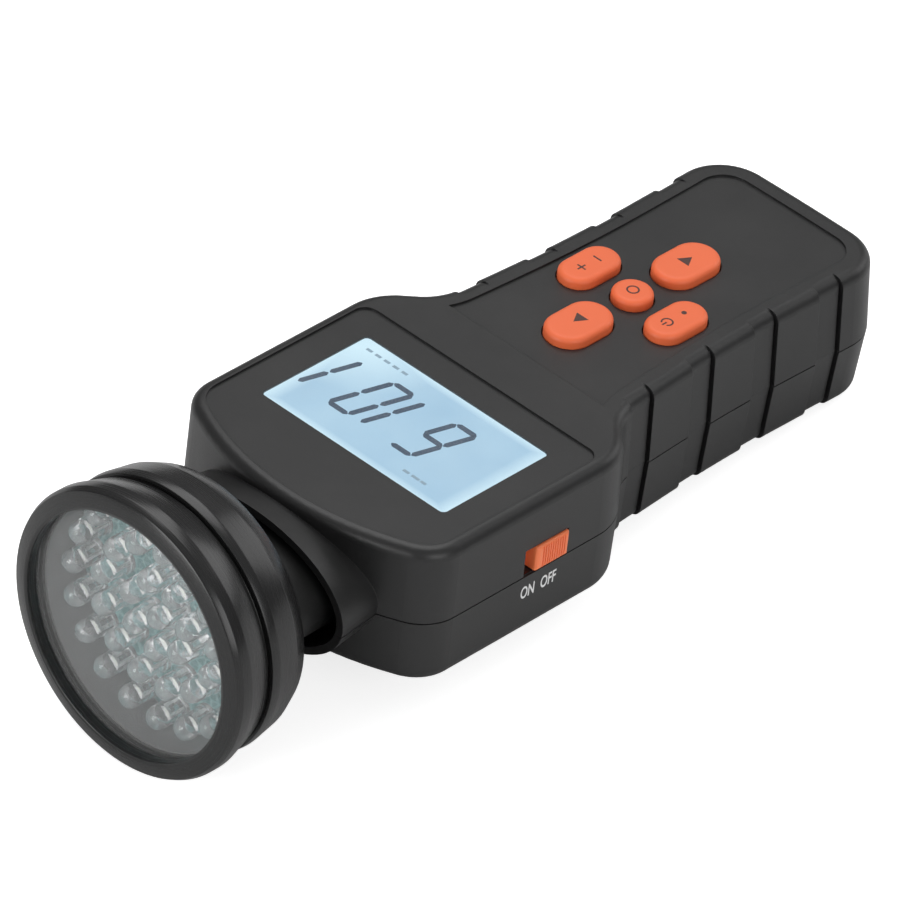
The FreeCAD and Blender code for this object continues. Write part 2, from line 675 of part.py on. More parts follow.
def bent_lead(x, points, bend):
    """Round lead in the plane at x through (y, z) points, with one tangent arc at the middle point."""
    start, corner, end = [vec(x, y, z) for y, z in points]
    before = (corner - start).normalize()
    after = (end - corner).normalize()
    half = before.getAngle(after) / 2
    reach = bend * math.tan(half)
    arc_start = corner - before * reach
    arc_end = corner + after * reach
    centre_way = (after - before).normalize()
    middle = corner + centre_way * (bend / math.cos(half) - bend)
    path = Part.Wire([Part.makeLine(start, arc_start), Part.Arc(arc_start, middle, arc_end).toShape(),
                      Part.makeLine(arc_end, end)])
    section = Part.Wire([Part.makeCircle(LEAD_RADIUS, start, before)])
    return path.makePipeShell([section], True, False)


def lamp_leads():
    rear = led_base_y() + LED_BOARD_THICK
    up_y = BOARD_FRONT_Y + 4.0
    route = ((rear, AXIS_Z), (up_y, AXIS_Z), (up_y, BOARD_LOW_Z))
    return Part.makeCompound([bent_lead(side * LEAD_SPACING / 2, route, 3.5) for side in (1, -1)])


def battery_leads():
    snap = BATTERY_FRONT_Y - SNAP_THICK
    height = PARTING_Z - 3
    route = ((snap, height), (snap - 13, height), (snap - 13, BOARD_LOW_Z))
    return Part.makeCompound([bent_lead(side * LEAD_SPACING / 2, route, 3.5) for side in (1, -1)])


def battery():
    half = BATTERY[0] / 2
    low = DOOR_THICK + 3 * SLIP_GAP
    body = block(-half, half, BATTERY_FRONT_Y, BATTERY_FRONT_Y + BATTERY[1], low, low + BATTERY[2])
    long_edges = [e for e in body.Edges if abs(e.Vertexes[0].Y - e.Vertexes[1].Y) > 1]
    body = body.makeFillet(2.0, long_edges)
    z = low + BATTERY[2] / 2
    studs = [rod(side * 6.35, z, radius, BATTERY_FRONT_Y - SNAP_THICK + 0.3, BATTERY_FRONT_Y)
             for side, radius in ((1, 2.9), (-1, 4.0))]
    return join([body] + studs)


def battery_snap():
    z = DOOR_THICK + 3 * SLIP_GAP + BATTERY[2] / 2
    front = BATTERY_FRONT_Y - SNAP_THICK
    plate = block(-12.4, 12.4, front, BATTERY_FRONT_Y - SEAT_GAP, z - 6, z + 6)
    sockets = [rod(side * 6.35, z, radius + SLIP_GAP, front + 0.3, BATTERY_FRONT_Y + 1)
               for side, radius in ((1, 2.9), (-1, 4.0))]
    return plate.cut(sockets)


def display_window():
    gap = SEAT_GAP
    return round_block(WINDOW_X - 2 * gap, WINDOW_Y - 2 * gap, WINDOW_CORNER_RADIUS - gap,
                       PANEL_Z - WINDOW_THICK, PANEL_Z)


def glass_low_z():
    return CEILING_Z - SLIP_GAP - GLASS_THICK


def lcd_glass():
    low = glass_low_z()
    return block(-GLASS_X / 2, GLASS_X / 2, -GLASS_Y / 2, GLASS_Y / 2, low, low + GLASS_THICK)


def lcd_backlight():
    low = glass_low_z() - BACKLIGHT_THICK
    side = GLASS_Y / 2 - STRIP_WIDTH - 2 * SLIP_GAP
    return block(-GLASS_X / 2, GLASS_X / 2, -side, side, low, glass_low_z())


def lcd_connector_strips():
    outer = GLASS_Y / 2
    return Part.makeCompound([
        block(-STRIP_LENGTH / 2, STRIP_LENGTH / 2, outer - STRIP_WIDTH, outer, BOARD_TOP_Z, glass_low_z()),
        block(-STRIP_LENGTH / 2, STRIP_LENGTH / 2, -outer, -outer + STRIP_WIDTH, BOARD_TOP_Z,
              glass_low_z())])


def lcd_holder():
    """Rim round the glass that stands on the board and carries the light guide on a sill."""
    top = CEILING_Z - SLIP_GAP
    x = GLASS_X / 2 + SLIP_GAP
    y = GLASS_Y / 2 + SLIP_GAP
    rim = block(-x - HOLDER_RIM, x + HOLDER_RIM, -y - HOLDER_RIM, y + HOLDER_RIM, BOARD_TOP_Z, top)
    sill_top = glass_low_z() - BACKLIGHT_THICK
    sill_y = GLASS_Y / 2 - STRIP_WIDTH - 2 * SLIP_GAP
    room = block(-x, x, -y, y, sill_top, top + 1)
    strips = block(-x, x, -y, y, BOARD_TOP_Z - 1, top + 1).cut(
        block(-x, x, -sill_y, sill_y, BOARD_TOP_Z - 1, sill_top))
    return rim.cut([room, strips])


def main_board():
    half = switch_face_x() - BOARD_SWITCH_OVERHANG
    solid = join([
        block(-half, half, BOARD_FRONT_Y, BOARD_STEP_Y, BOARD_LOW_Z, BOARD_TOP_Z),
        block(-BOARD_HANDLE_HALF, BOARD_HANDLE_HALF, BOARD_FRONT_Y, BOARD_REAR_Y, BOARD_LOW_Z,
              BOARD_TOP_Z)])
    cuts = []
    reach = BOSS_RADIUS + 2 * SLIP_GAP
    for side in (1, -1):
        low, high = sorted((side * (BOX_SCREWS[0][0] - reach), side * 2 * BOX_HALF))
        cuts.append(block(low, high, 2 * NOSE_Y, BOX_SCREWS[0][1] + reach, 0, CASE_DEPTH))
    cuts += [post(x, y, BOARD_SCREW_RADIUS + SCREW_GAP, 0, CASE_DEPTH)
             for x, y in both_sides(BOARD_SCREWS)]
    return solid.cut(cuts)


def board_screws():
    screws = []
    for x, y in both_sides(BOARD_SCREWS):
        shank = post(x, y, BOARD_SCREW_RADIUS, BOARD_LOW_Z, board_screw_tip())
        head = post(x, y, BOARD_SCREW_HEAD, BOARD_LOW_Z - BOARD_SCREW_HEAD_THICK, BOARD_LOW_Z)
        screws.append(join([shank, head]))
    return Part.makeCompound(screws)


def case_screw(x, y, recess):
    """Pan-head screw driven in from the back, with a cross slot."""
    shank = post(x, y, SCREW_RADIUS, recess, screw_tip(recess))
    head = post(x, y, SCREW_HEAD_RADIUS, recess, recess + SCREW_HEAD_THICK)
    slot = SCREW_HEAD_RADIUS * 0.7
    cross = [block(x - slot, x + slot, y - 0.35, y + 0.35, recess - 1, recess + 0.8),
             block(x - 0.35, x + 0.35, y - slot, y + slot, recess - 1, recess + 0.8)]
    return join([head, shank]).cut(cross)


def case_screws():
    screws = [case_screw(x, y, SCREW_RECESS) for x, y in both_sides(BOX_SCREWS)]
    screws += [case_screw(x, y, tail_recess()) for x, y in both_sides([TAIL_SCREW])]
    return Part.makeCompound(screws)


def key_rest_z():
    """Underside of a key's flange at rest."""
    return CEILING_Z - SEAT_GAP - KEY_FLANGE_THICK


def key(name):
    """Key cap with a flange behind the panel and a stem that bears on its switch."""
    size, x, y = KEYS[name]
    cap = pill(size, x, y, key_rest_z(), PANEL_Z + KEY_RISE)
    rim = [e for e in cap.Edges if all(abs(v.Z - PANEL_Z - KEY_RISE) < 1e-6 for v in e.Vertexes)]
    cap = cap.makeFillet(KEY_EDGE_RADIUS, rim)
    flange = pill(size, x, y, key_rest_z(), key_rest_z() + KEY_FLANGE_THICK, KEY_FLANGE)
    stem = post(x, y, KEY_STEM_RADIUS, plunger_top_z(), key_rest_z())
    return join([cap, flange, stem])


def plunger_top_z():
    return BOARD_TOP_Z + TACT_HEIGHT + KEY_TRAVEL + SLIP_GAP


def plunger(name):
    size, x, y = KEYS[name]
    return post(x, y, PLUNGER_RADIUS, BOARD_TOP_Z + TACT_HEIGHT - 0.8, plunger_top_z())


def tact_switch_bodies():
    half = TACT_SIDE / 2
    bodies = []
    for size, x, y in KEYS.values():
        body = block(x - half, x + half, y - half, y + half, BOARD_TOP_Z, BOARD_TOP_Z + TACT_HEIGHT)
        well = BOARD_TOP_Z + TACT_HEIGHT - 0.8 - KEY_TRAVEL - SLIP_GAP
        bodies.append(body.cut(post(x, y, PLUNGER_RADIUS + SEAT_GAP, well, CASE_DEPTH)))
    return Part.makeCompound(bodies)


def knob_levels():
    """Lower and upper edge of the slide knob inside its opening."""
    return PARTING_Z + KEY_GAP, PARTING_Z + SLIDE_HEIGHT - KEY_GAP


def switch_knob():
    """Ribbed slide knob with a wider plate behind the wall; it rests towards the tail."""
    low, high = knob_levels()
    end = SLIDE_Y_HIGH - KEY_GAP
    start = end - KNOB_LENGTH
    face_x = BOX_HALF + KNOB_PROUD - BOX_DRAFT / 2
    plate_x = plate_face_x() + PLATE_THICK
    cap = block(plate_x, face_x, start, end, low, high)
    rim = [e for e in cap.Edges if all(abs(v.X - face_x) < 1e-6 for v in e.Vertexes)]
    cap = cap.makeFillet(KNOB_EDGE_RADIUS, rim)
    pitch = (KNOB_LENGTH - 2.4) / KNOB_RIB_COUNT
    grooves = [block(face_x - KNOB_RIB_DEPTH, face_x + 1, start + 1.2 + i * pitch + pitch / 2,
                     start + 1.2 + (i + 1) * pitch, low - 1, high + 1) for i in range(KNOB_RIB_COUNT)]
    plate = block(plate_face_x(), plate_x, start - 2.6, end + 0.6, low, high)
    socket = lever_block(SEAT_GAP)
    return join([cap.cut(grooves), plate]).cut(socket)


def lever_block(gap):
    """Lever of the slide switch, grown by a gap where it plugs into the knob."""
    y = SLIDE_Y_HIGH - KEY_GAP - KNOB_LENGTH / 2
    low, high = knob_levels()
    z = (low + high) / 2
    half = LEVER_SIDE / 2 + gap
    return block(switch_face_x() - 1.5, plate_face_x() + 2.0 + gap, y - half, y + half, z - half, z + half)


def plate_face_x():
    return BOX_HALF - BOX_DRAFT - WALL - SLIP_GAP - PLATE_THICK


def switch_face_x():
    return plate_face_x() - 0.6


def switch_lever():
    return lever_block(0)


def switch_body():
    low, high = knob_levels()
    z = (low + high) / 2
    y = SLIDE_Y_HIGH - KEY_GAP - KNOB_LENGTH / 2 - SLIDE_TRAVEL / 2
    face = switch_face_x()
    body = block(face - SWITCH_BODY_X, face, y - SWITCH_BODY_Y / 2, y + SWITCH_BODY_Y / 2,
                 BOARD_LOW_Z - SWITCH_BODY_Z, BOARD_LOW_Z)
    half = LEVER_SIDE / 2 + SEAT_GAP
    slot = block(face - 1.5 - SEAT_GAP, face + 1, y - SLIDE_TRAVEL / 2 - half, y + SLIDE_TRAVEL / 2 + half,
                 z - half, z + half)
    return body.cut(slot)


def microcontroller():
    return block(-6, 6, -12, 0, BOARD_LOW_Z - 1.4, BOARD_LOW_Z)


def board_components():
    """Coil, two capacitors, power transistor and crystal under the board."""
    low = BOARD_LOW_Z
    coil = post(-20, -8, 5.0, low - 4.5, low)
    capacitors = [post(-20, 8, 3.15, low - 7.7, low), post(-12, 10, 3.15, low - 7.7, low)]
    transistor = block(8, 14.6, 6, 12.2, low - 2.3, low)
    crystal = block(10, 21, -12, -7.4, low - 3.4, low)
    return Part.makeCompound([coil] + capacitors + [transistor, crystal])


PIECES = {
    "front_shell": front_shell,
    "back_shell": back_shell,
    "battery_door": battery_door,
    "neck": neck,
    "neck_screws": neck_screws,
    "head_housing": head_housing,
    "bezel_ring": bezel_ring,
    "lens": lens,
    "lens_seal": lens_seal,
    "led_board": led_board,
    "reflector_wall": reflector_wall,
    "leds": leds,
    "lamp_leads": lamp_leads,
    "battery_leads": battery_leads,
    "battery": battery,
    "battery_snap": battery_snap,
    "display_window": display_window,
    "lcd_glass": lcd_glass,
    "lcd_backlight": lcd_backlight,
    "lcd_connector_strips": lcd_connector_strips,
    "lcd_holder": lcd_holder,
    "main_board": main_board,
    "board_screws": board_screws,
    "case_screws": case_screws,
    "tact_switch_bodies": tact_switch_bodies,
    "switch_knob": switch_knob,
    "switch_lever": switch_lever,
    "switch_body": switch_body,
    "microcontroller": microcontroller,
    "board_components": board_components}

os.makedirs("parts", exist_ok=True)
for node, make in PIECES.items():
    make().exportStep("parts/" + node + ".step")
for name in KEYS:
    key(name).exportStep("parts/key_" + name + ".step")
    plunger(name).exportStep("parts/plunger_" + name + ".step")
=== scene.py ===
"""Looks of a handheld digital stroboscope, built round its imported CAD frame.

Lengths are in metres. X runs across the case, Y along it with the lamp at -Y, Z out of the display.
"""

import logging
import math
from dataclasses import dataclass
from enum import Enum
from typing import Callable, Sequence

import bpy
from mathutils import Matrix, Vector


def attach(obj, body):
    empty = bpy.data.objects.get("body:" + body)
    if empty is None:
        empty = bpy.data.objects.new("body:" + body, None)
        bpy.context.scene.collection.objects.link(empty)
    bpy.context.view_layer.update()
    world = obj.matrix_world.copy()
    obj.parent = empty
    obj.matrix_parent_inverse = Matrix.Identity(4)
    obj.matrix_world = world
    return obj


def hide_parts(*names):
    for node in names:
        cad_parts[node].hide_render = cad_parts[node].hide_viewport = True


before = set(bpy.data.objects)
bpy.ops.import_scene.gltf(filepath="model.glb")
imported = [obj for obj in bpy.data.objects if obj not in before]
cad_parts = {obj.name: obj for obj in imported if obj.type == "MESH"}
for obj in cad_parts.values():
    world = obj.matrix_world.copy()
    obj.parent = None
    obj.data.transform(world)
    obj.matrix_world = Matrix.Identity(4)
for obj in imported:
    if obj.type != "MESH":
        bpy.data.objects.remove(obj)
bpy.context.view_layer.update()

LOG = logging.getLogger("stroboscope")
MM = 0.001
Colour = tuple[float, float, float]
Test = Callable[[Vector, Vector], bool]


class Body(Enum):
    """Moving and fixed bodies of the frame that pieces ride on."""

    CASE = "case"
    KEY_UP = "key_up"
    KEY_DOWN = "key_down"
    KEY_FINE = "key_fine"
    KEY_POWER = "key_power"
    KEY_MEMORY = "key_memory"
    SLIDE = "slide_switch"
    DOOR = "battery_door"


class Pick(Enum):
    """What an edit-mode selection is made of."""

    POINT = 0
    EDGE = 1
    FACE = 2


class Bench:
    """Modelling steps, each made of Blender's own operators."""

    @staticmethod
    def clear() -> None:
        """Back to object mode with nothing selected."""
        if bpy.context.object and bpy.context.object.mode != "OBJECT":
            bpy.ops.object.mode_set(mode="OBJECT")
        bpy.ops.object.select_all(action="DESELECT")

    @staticmethod
    def take(obj: bpy.types.Object) -> None:
        """Makes one object the only one selected."""
        Bench.clear()
        obj.select_set(True)
        bpy.context.view_layer.objects.active = obj

    @staticmethod
    def named(name: str) -> bpy.types.Object:
        """Names the object just added, and its mesh.

        Args:
            name: The piece's name.

        Returns:
            The object.
        """
        obj = bpy.context.object
        obj.name = name
        obj.data.name = name
        return obj

    @staticmethod
    def settle(obj: bpy.types.Object) -> bpy.types.Object:
        """Puts the object's place, turn and scale into its mesh."""
        Bench.take(obj)
        bpy.ops.object.transform_apply(location=True, rotation=True, scale=True)
        return obj

    @staticmethod
    def block(name: str, centre: Sequence[float], size: Sequence[float]) -> bpy.types.Object:
        """Cube stretched to a size.

        Args:
            name: The piece's name.
            centre: Its middle.
            size: Its three lengths.

        Returns:
            The settled object.
        """
        Bench.clear()
        bpy.ops.mesh.primitive_cube_add(size=1, location=centre)
        obj = Bench.named(name)
        obj.scale = size
        return Bench.settle(obj)

    @staticmethod
    def pick(obj: bpy.types.Object, kind: Pick, test: Test) -> None:
        """Enters edit mode with only the elements that pass a test selected.

        Args:
            obj: The mesh object.
            kind: Points, edges or faces.
            test: Takes an element's middle and its normal, or an edge's direction.
        """
        Bench.take(obj)
        bpy.context.tool_settings.mesh_select_mode = tuple(kind is k for k in Pick)
        mesh = obj.data
        for group in (mesh.vertices, mesh.edges, mesh.polygons):
            group.foreach_set("select", [False] * len(group))
        if kind is Pick.POINT:
            for point in mesh.vertices:
                point.select = test(point.co, point.normal)
        elif kind is Pick.EDGE:
            for edge in mesh.edges:
                ends = [mesh.vertices[i].co for i in edge.vertices]
                edge.select = test((ends[0] + ends[1]) / 2, (ends[1] - ends[0]).normalized())
        else:
            for face in mesh.polygons:
                face.select = test(face.center, face.normal)
        bpy.ops.object.mode_set(mode="EDIT")

    @staticmethod
    def modify(obj: bpy.types.Object, kind: str, **settings: object) -> None:
        """Adds a modifier and applies it at once."""
        Bench.take(obj)
        bpy.ops.object.modifier_add(type=kind)
        modifier = obj.modifiers[-1]
        for key, value in settings.items():
            setattr(modifier, key, value)
        bpy.ops.object.modifier_apply(modifier=modifier.name)

    @staticmethod
    def soften(obj: bpy.types.Object, width: float, segments: int = 2, angle: float = 30) -> None:
        """Rounds the sharp edges and shades the rest smooth.

        Args:
            obj: The mesh object.
            width: The bevel's width.
            segments: Its number of steps.
            angle: Edges sharper than this many degrees are rounded.
        """
        Bench.modify(obj, "BEVEL", width=width, segments=segments, limit_method="ANGLE",
                     angle_limit=math.radians(angle), use_clamp_overlap=True)
        Bench.smooth(obj)

    @staticmethod
    def smooth(obj: bpy.types.Object, angle: float = 35) -> None:
        """Shades smooth across edges flatter than an angle in degrees."""
        Bench.take(obj)
        bpy.ops.object.shade_smooth_by_angle(angle=math.radians(angle))

    @staticmethod
    def clean(obj: bpy.types.Object) -> None:
        """Merges doubled points and turns every face outwards."""
        Bench.pick(obj, Pick.POINT, lambda place, normal: True)
        bpy.ops.mesh.remove_doubles(threshold=1e-7)
        bpy.ops.mesh.normals_make_consistent(inside=False)
        Bench.clear()

    @staticmethod
    def turned(name: str, profile: Sequence[tuple[float, float]], axis_z: float,
               steps: int = 96, closed: bool = True) -> bpy.types.Object:
        """Solid of revolution about a line along Y: a point is extruded along a profile and spun.

        Args:
            name: The piece's name.
            profile: Pairs of place along Y and radius, in millimetres.
            axis_z: Height of the axis.
            steps: Number of steps round.
            closed: Whether the profile's ends are joined away from the axis.

        Returns:
            The object, with merged points and outward normals.
        """
        Bench.clear()
        bpy.ops.mesh.primitive_plane_add(size=MM, location=(0, 0, 0))
        obj = Bench.named(name)
        places = [Vector((0, y * MM, axis_z + radius * MM)) for y, radius in profile]
        Bench.pick(obj, Pick.POINT, lambda place, normal: True)
        bpy.ops.mesh.merge(type="CENTER")
        bpy.ops.transform.translate(value=places[0])
        for before, after in zip(places, places[1:]):
            bpy.ops.mesh.extrude_region_move(TRANSFORM_OT_translate={"value": after - before})
        if closed:
            ends = (places[0], places[-1])
            Bench.pick(obj, Pick.POINT,
                       lambda place, normal: any((place - end).length < 1e-7 for end in ends))
            bpy.ops.mesh.edge_face_add()
        Bench.pick(obj, Pick.POINT, lambda place, normal: True)
        bpy.ops.mesh.spin(steps=steps, angle=2 * math.pi, center=(0, 0, axis_z), axis=(0, 1, 0))
        Bench.clean(obj)
        return obj

    @staticmethod
    def disc(name: str, centre: Sequence[float], radius: float, thick: float,
             sides: int = 32) -> bpy.types.Object:
        """Flat round or many-sided plate that lies on Z.

        Args:
            name: The piece's name.
            centre: Middle of its underside.
            radius: Its radius.
            thick: Its thickness.
            sides: Its number of sides.

        Returns:
            The settled object.
        """
        Bench.clear()
        bpy.ops.mesh.primitive_circle_add(vertices=sides, radius=radius, fill_type="NGON", location=centre)
        obj = Bench.settle(Bench.named(name))
        Bench.raise_plate(obj, thick)
        return obj

    @staticmethod
    def raise_plate(obj: bpy.types.Object, thick: float) -> None:
        """Extrudes a flat shape upwards and turns its faces outwards."""
        Bench.pick(obj, Pick.FACE, lambda place, normal: True)
        bpy.ops.mesh.extrude_region_move(TRANSFORM_OT_translate={"value": (0, 0, thick)})
        Bench.clean(obj)

    @staticmethod
    def copy(obj: bpy.types.Object, name: str, shift: Sequence[float]) -> bpy.types.Object:
        """Copy with its own mesh, moved and settled.

        Args:
            obj: The object to copy.
            name: The copy's name.
            shift: How far it is moved.

        Returns:
            The copy.
        """
        Bench.take(obj)
        bpy.ops.object.duplicate(linked=False)
        twin = Bench.named(name)
        twin.location = shift
        return Bench.settle(twin)

    @staticmethod
    def join(pieces: Sequence[bpy.types.Object], name: str) -> bpy.types.Object:
        """Joins several objects into one.

        Args:
            pieces: The objects; they are used up.
            name: The name of the result.

        Returns:
            The joined object.
        """
        Bench.clear()
        for piece in pieces:
            piece.select_set(True)
        bpy.context.view_layer.objects.active = pieces[0]
        if len(pieces) > 1:
            bpy.ops.object.join()
        return Bench.named(name)

    @staticmethod
    def turn(obj: bpy.types.Object, axis: str, degrees: float) -> None:
        """Turns an object about the world's origin and settles it."""
        Bench.take(obj)
        obj.matrix_world = Matrix.Rotation(math.radians(degrees), 4, axis) @ obj.matrix_world
        Bench.settle(obj)


class Graph:
    """A node tree that is being written."""

    def __init__(self, tree: bpy.types.NodeTree) -> None:
        """Starts on a tree.

        Args:
            tree: The material's or group's tree; its old nodes are removed.
        """
        self.tree = tree
        tree.nodes.clear()

    def add(self, kind: str, **values: object) -> bpy.types.Node:
        """Adds a node and sets its values.

        Args:
            kind: Node type without its ShaderNode prefix.
            values: Settings by property name, or inputs by name with spaces as underscores.

        Returns:
            The node.
        """
        node = self.tree.nodes.new("ShaderNode" + kind)
        for key, value in values.items():
            if hasattr(node, key):
                setattr(node, key, value)
            else:
                self.put(node, key.replace("_", " "), value)
        return node

    def put(self, node: bpy.types.Node, name: str | int, value: object) -> None:
        """Links a socket, or sets a number or colour, on one input."""
        if isinstance(value, bpy.types.NodeSocket):
            self.tree.links.new(value, node.inputs[name])
            return
        if isinstance(value, tuple) and len(value) == 3 and node.inputs[name].type == "RGBA":
            value = (*value, 1.0)
        node.inputs[name].default_value = value

    def maths(self, operation: str, first: object, second: object = 0.0,
              clamp: bool = False) -> bpy.types.NodeSocket:
        """One Math node and its result."""
        node = self.add("Math", operation=operation, use_clamp=clamp)
        self.put(node, 0, first)
        self.put(node, 1, second)
        return node.outputs[0]

    def blend(self, share: object, first: object, second: object) -> bpy.types.NodeSocket:
        """Mix of two colours by a share."""
        node = self.add("Mix", data_type="RGBA")
        self.put(node, 0, share)
        self.put(node, 6, first)
        self.put(node, 7, second)
        return node.outputs[2]

    def remap(self, value: object, low: float, high: float,
              to_low: float, to_high: float) -> bpy.types.NodeSocket:
        """Maps a range of values to another, clamped at its ends."""
        node = self.add("MapRange")
        for name, number in zip(("From Min", "From Max", "To Min", "To Max"), (low, high, to_low, to_high)):
            self.put(node, name, number)
        self.put(node, "Value", value)
        return node.outputs[0]

    def noise(self, place: object, scale: object, detail: float = 2.0,
              rough: float = 0.5) -> bpy.types.NodeSocket:
        """Noise value at a place."""
        node = self.add("TexNoise")
        for name, value in (("Vector", place), ("Scale", scale), ("Detail", detail), ("Roughness", rough)):
            self.put(node, name, value)
        return node.outputs[0]

    def place(self) -> bpy.types.NodeSocket:
        """Object coordinates."""
        return self.add("TexCoord").outputs["Object"]

    def split(self, vector: object) -> bpy.types.bpy_prop_collection:
        """The three parts of a vector."""
        node = self.add("SeparateXYZ")
        self.put(node, 0, vector)
        return node.outputs

    def spread(self, value: object, low: float, high: float) -> bpy.types.NodeSocket:
        """Maps the middle of a noise's range to a low and a high value."""
        return self.remap(value, 0.3, 0.7, low, high)

    def tinted(self, colour: Colour, tone: object) -> bpy.types.NodeSocket:
        """Colour multiplied by a tone."""
        node = self.add("Mix", data_type="RGBA", blend_type="MULTIPLY")
        for index, value in ((0, 1.0), (6, colour), (7, tone)):
            self.put(node, index, value)
        return node.outputs[2]

    def relief(self, shader: bpy.types.Node, height: object, distance: float,
               strength: float = 1.0, normal: object = None) -> None:
        """Gives a shader a bump from a height, over a normal where one is given."""
        bump = self.add("Bump", Strength=strength, Distance=distance)
        self.put(bump, "Height", height)
        if normal is not None:
            self.put(bump, "Normal", normal)
        self.put(shader, "Normal", bump.outputs[0])

    def seen(self) -> bpy.types.NodeSocket:
        """One where the camera looks, straight or through something clear."""
        path = self.add("LightPath")
        return self.maths("MAXIMUM", path.outputs["Is Camera Ray"], path.outputs["Is Transmission Ray"])


class Effects:
    """Shared effects: each is one node group, built once and placed in each material."""

    def __init__(self) -> None:
        """Builds the groups."""
        self.grain = self._grain()
        self.dust = self._dust()
        self.edges = self._edges()

    @staticmethod
    def _group(name: str, inputs: dict[str, float | None],
               outputs: dict[str, str]) -> tuple[Graph, object, object]:
        """Starts a group with named sockets.

        Args:
            name: The group's name.
            inputs: Input names with defaults; None makes a vector input.
            outputs: Output names with their socket types.

        Returns:
            The graph and its input and output nodes.
        """
        tree = bpy.data.node_groups.new(name, "ShaderNodeTree")
        for key, value in inputs.items():
            kind = "NodeSocketVector" if value is None else "NodeSocketFloat"
            socket = tree.interface.new_socket(key, in_out="INPUT", socket_type=kind)
            if value is not None:
                socket.default_value = value
        for key, kind in outputs.items():
            tree.interface.new_socket(key, in_out="OUTPUT", socket_type=kind)
        graph = Graph(tree)
        return graph, tree.nodes.new("NodeGroupInput"), tree.nodes.new("NodeGroupOutput")

    def _grain(self) -> bpy.types.NodeTree:
        """Moulded or blasted grain: a fine height and a slow change of tone."""
        graph, source, result = self._group(
            "fine_grain", {"Vector": None, "Scale": 5000.0, "Tone Change": 0.1},
            {"Height": "NodeSocketFloat", "Tone": "NodeSocketFloat"})
        place = source.outputs["Vector"]
        scale = source.outputs["Scale"]
        coarse = graph.noise(place, scale, 2.0)
        fine = graph.noise(place, graph.maths("MULTIPLY", scale, 3.1), 2.0)
        height = graph.maths("ADD", graph.maths("MULTIPLY", coarse, 0.65),
                             graph.maths("MULTIPLY", fine, 0.35))
        slow = graph.maths("SUBTRACT", graph.noise(place, 55.0, 3.0), 0.5)
        change = graph.maths("MULTIPLY", slow, graph.maths("MULTIPLY", source.outputs["Tone Change"], 2.0))
        graph.tree.links.new(height, result.inputs["Height"])
        graph.tree.links.new(graph.maths("ADD", change, 1.0), result.inputs["Tone"])
        return graph.tree

    def _dust(self) -> bpy.types.NodeTree:
        """Thin dust and handling marks, more on faces that look up."""
        graph, source, result = self._group(
            "settled_dust", {"Vector": None, "Amount": 0.3}, {"Mask": "NodeSocketFloat"})
        place = source.outputs["Vector"]
        normal = graph.add("NewGeometry").outputs["Normal"]
        upward = graph.remap(graph.split(normal)[2], -0.2, 0.9, 0.25, 1.0)
        clouds = graph.remap(graph.noise(place, 38.0, 4.0, 0.6), 0.42, 0.72, 0.0, 1.0)
        specks = graph.remap(graph.noise(place, 2600.0, 1.0), 0.66, 0.74, 0.0, 1.0)
        mask = graph.maths("ADD", graph.maths("MULTIPLY", clouds, 0.7), graph.maths("MULTIPLY", specks, 0.5))
        mask = graph.maths("MULTIPLY", graph.maths("MULTIPLY", mask, upward), source.outputs["Amount"], True)
        graph.tree.links.new(mask, result.inputs["Mask"])
        return graph.tree

    def _edges(self) -> bpy.types.NodeTree:
        """Softly broken edges: a rounded normal, and a mask of the edges, along which a highlight is painted.
        """
        graph, source, result = self._group(
            "rounded_edges_painted_highlight", {"Vector": None, "Radius": 0.0002},
            {"Normal": "NodeSocketVector", "Mask": "NodeSocketFloat"})
        bevel = graph.add("Bevel", samples=4)
        graph.put(bevel, "Radius", source.outputs["Radius"])
        compare = graph.add("VectorMath", operation="DOT_PRODUCT")
        graph.put(compare, 0, bevel.outputs[0])
        graph.put(compare, 1, graph.add("NewGeometry").outputs["Normal"])
        # The mask marks the edges; materials lighten their colour there as a painted highlight.
        corner = graph.remap(compare.outputs["Value"], 0.98, 0.7, 0.0, 1.0)
        patchy = graph.remap(graph.noise(source.outputs["Vector"], 300.0, 3.0), 0.35, 0.65, 0.3, 1.0)
        graph.tree.links.new(bevel.outputs[0], result.inputs["Normal"])
        graph.tree.links.new(graph.maths("MULTIPLY", corner, patchy, True), result.inputs["Mask"])
        return graph.tree

    @staticmethod
    def use(graph: Graph, tree: bpy.types.NodeTree, place: object, **values: float) -> bpy.types.Node:
        """Places a group in a material.

        Args:
            graph: The material's graph.
            tree: The group.
            place: Coordinates for it.
            values: Its inputs by name, with spaces as underscores.

        Returns:
            The group's node.
        """
        node = graph.tree.nodes.new("ShaderNodeGroup")
        node.node_tree = tree
        graph.put(node, "Vector", place)
        for key, value in values.items():
            graph.put(node, key.replace("_", " "), value)
        return node


def scaled(colour: Colour, factor: float) -> Colour:
    """Colour times a factor, kept at or under one."""
    return tuple(min(1.0, channel * factor) for channel in colour)


@dataclass(frozen=True)
class Finish:
    """Look of a surface; each kind paints one Principled shader."""

    name: str

    def material(self, effects: Effects) -> bpy.types.Material:
        """Builds the material with its shader on the output."""
        material = bpy.data.materials.new(self.name)
        material.use_nodes = True
        graph = Graph(material.node_tree)
        shader = graph.add("BsdfPrincipled")
        graph.put(graph.add("OutputMaterial"), 0, shader.outputs[0])
        self.paint(graph, shader, graph.place(), effects)
        return material

    def paint(self, graph: Graph, shader: bpy.types.Node, place: object, effects: Effects) -> None:
        """Sets the shader from Object coordinates and the shared effects."""
        raise NotImplementedError


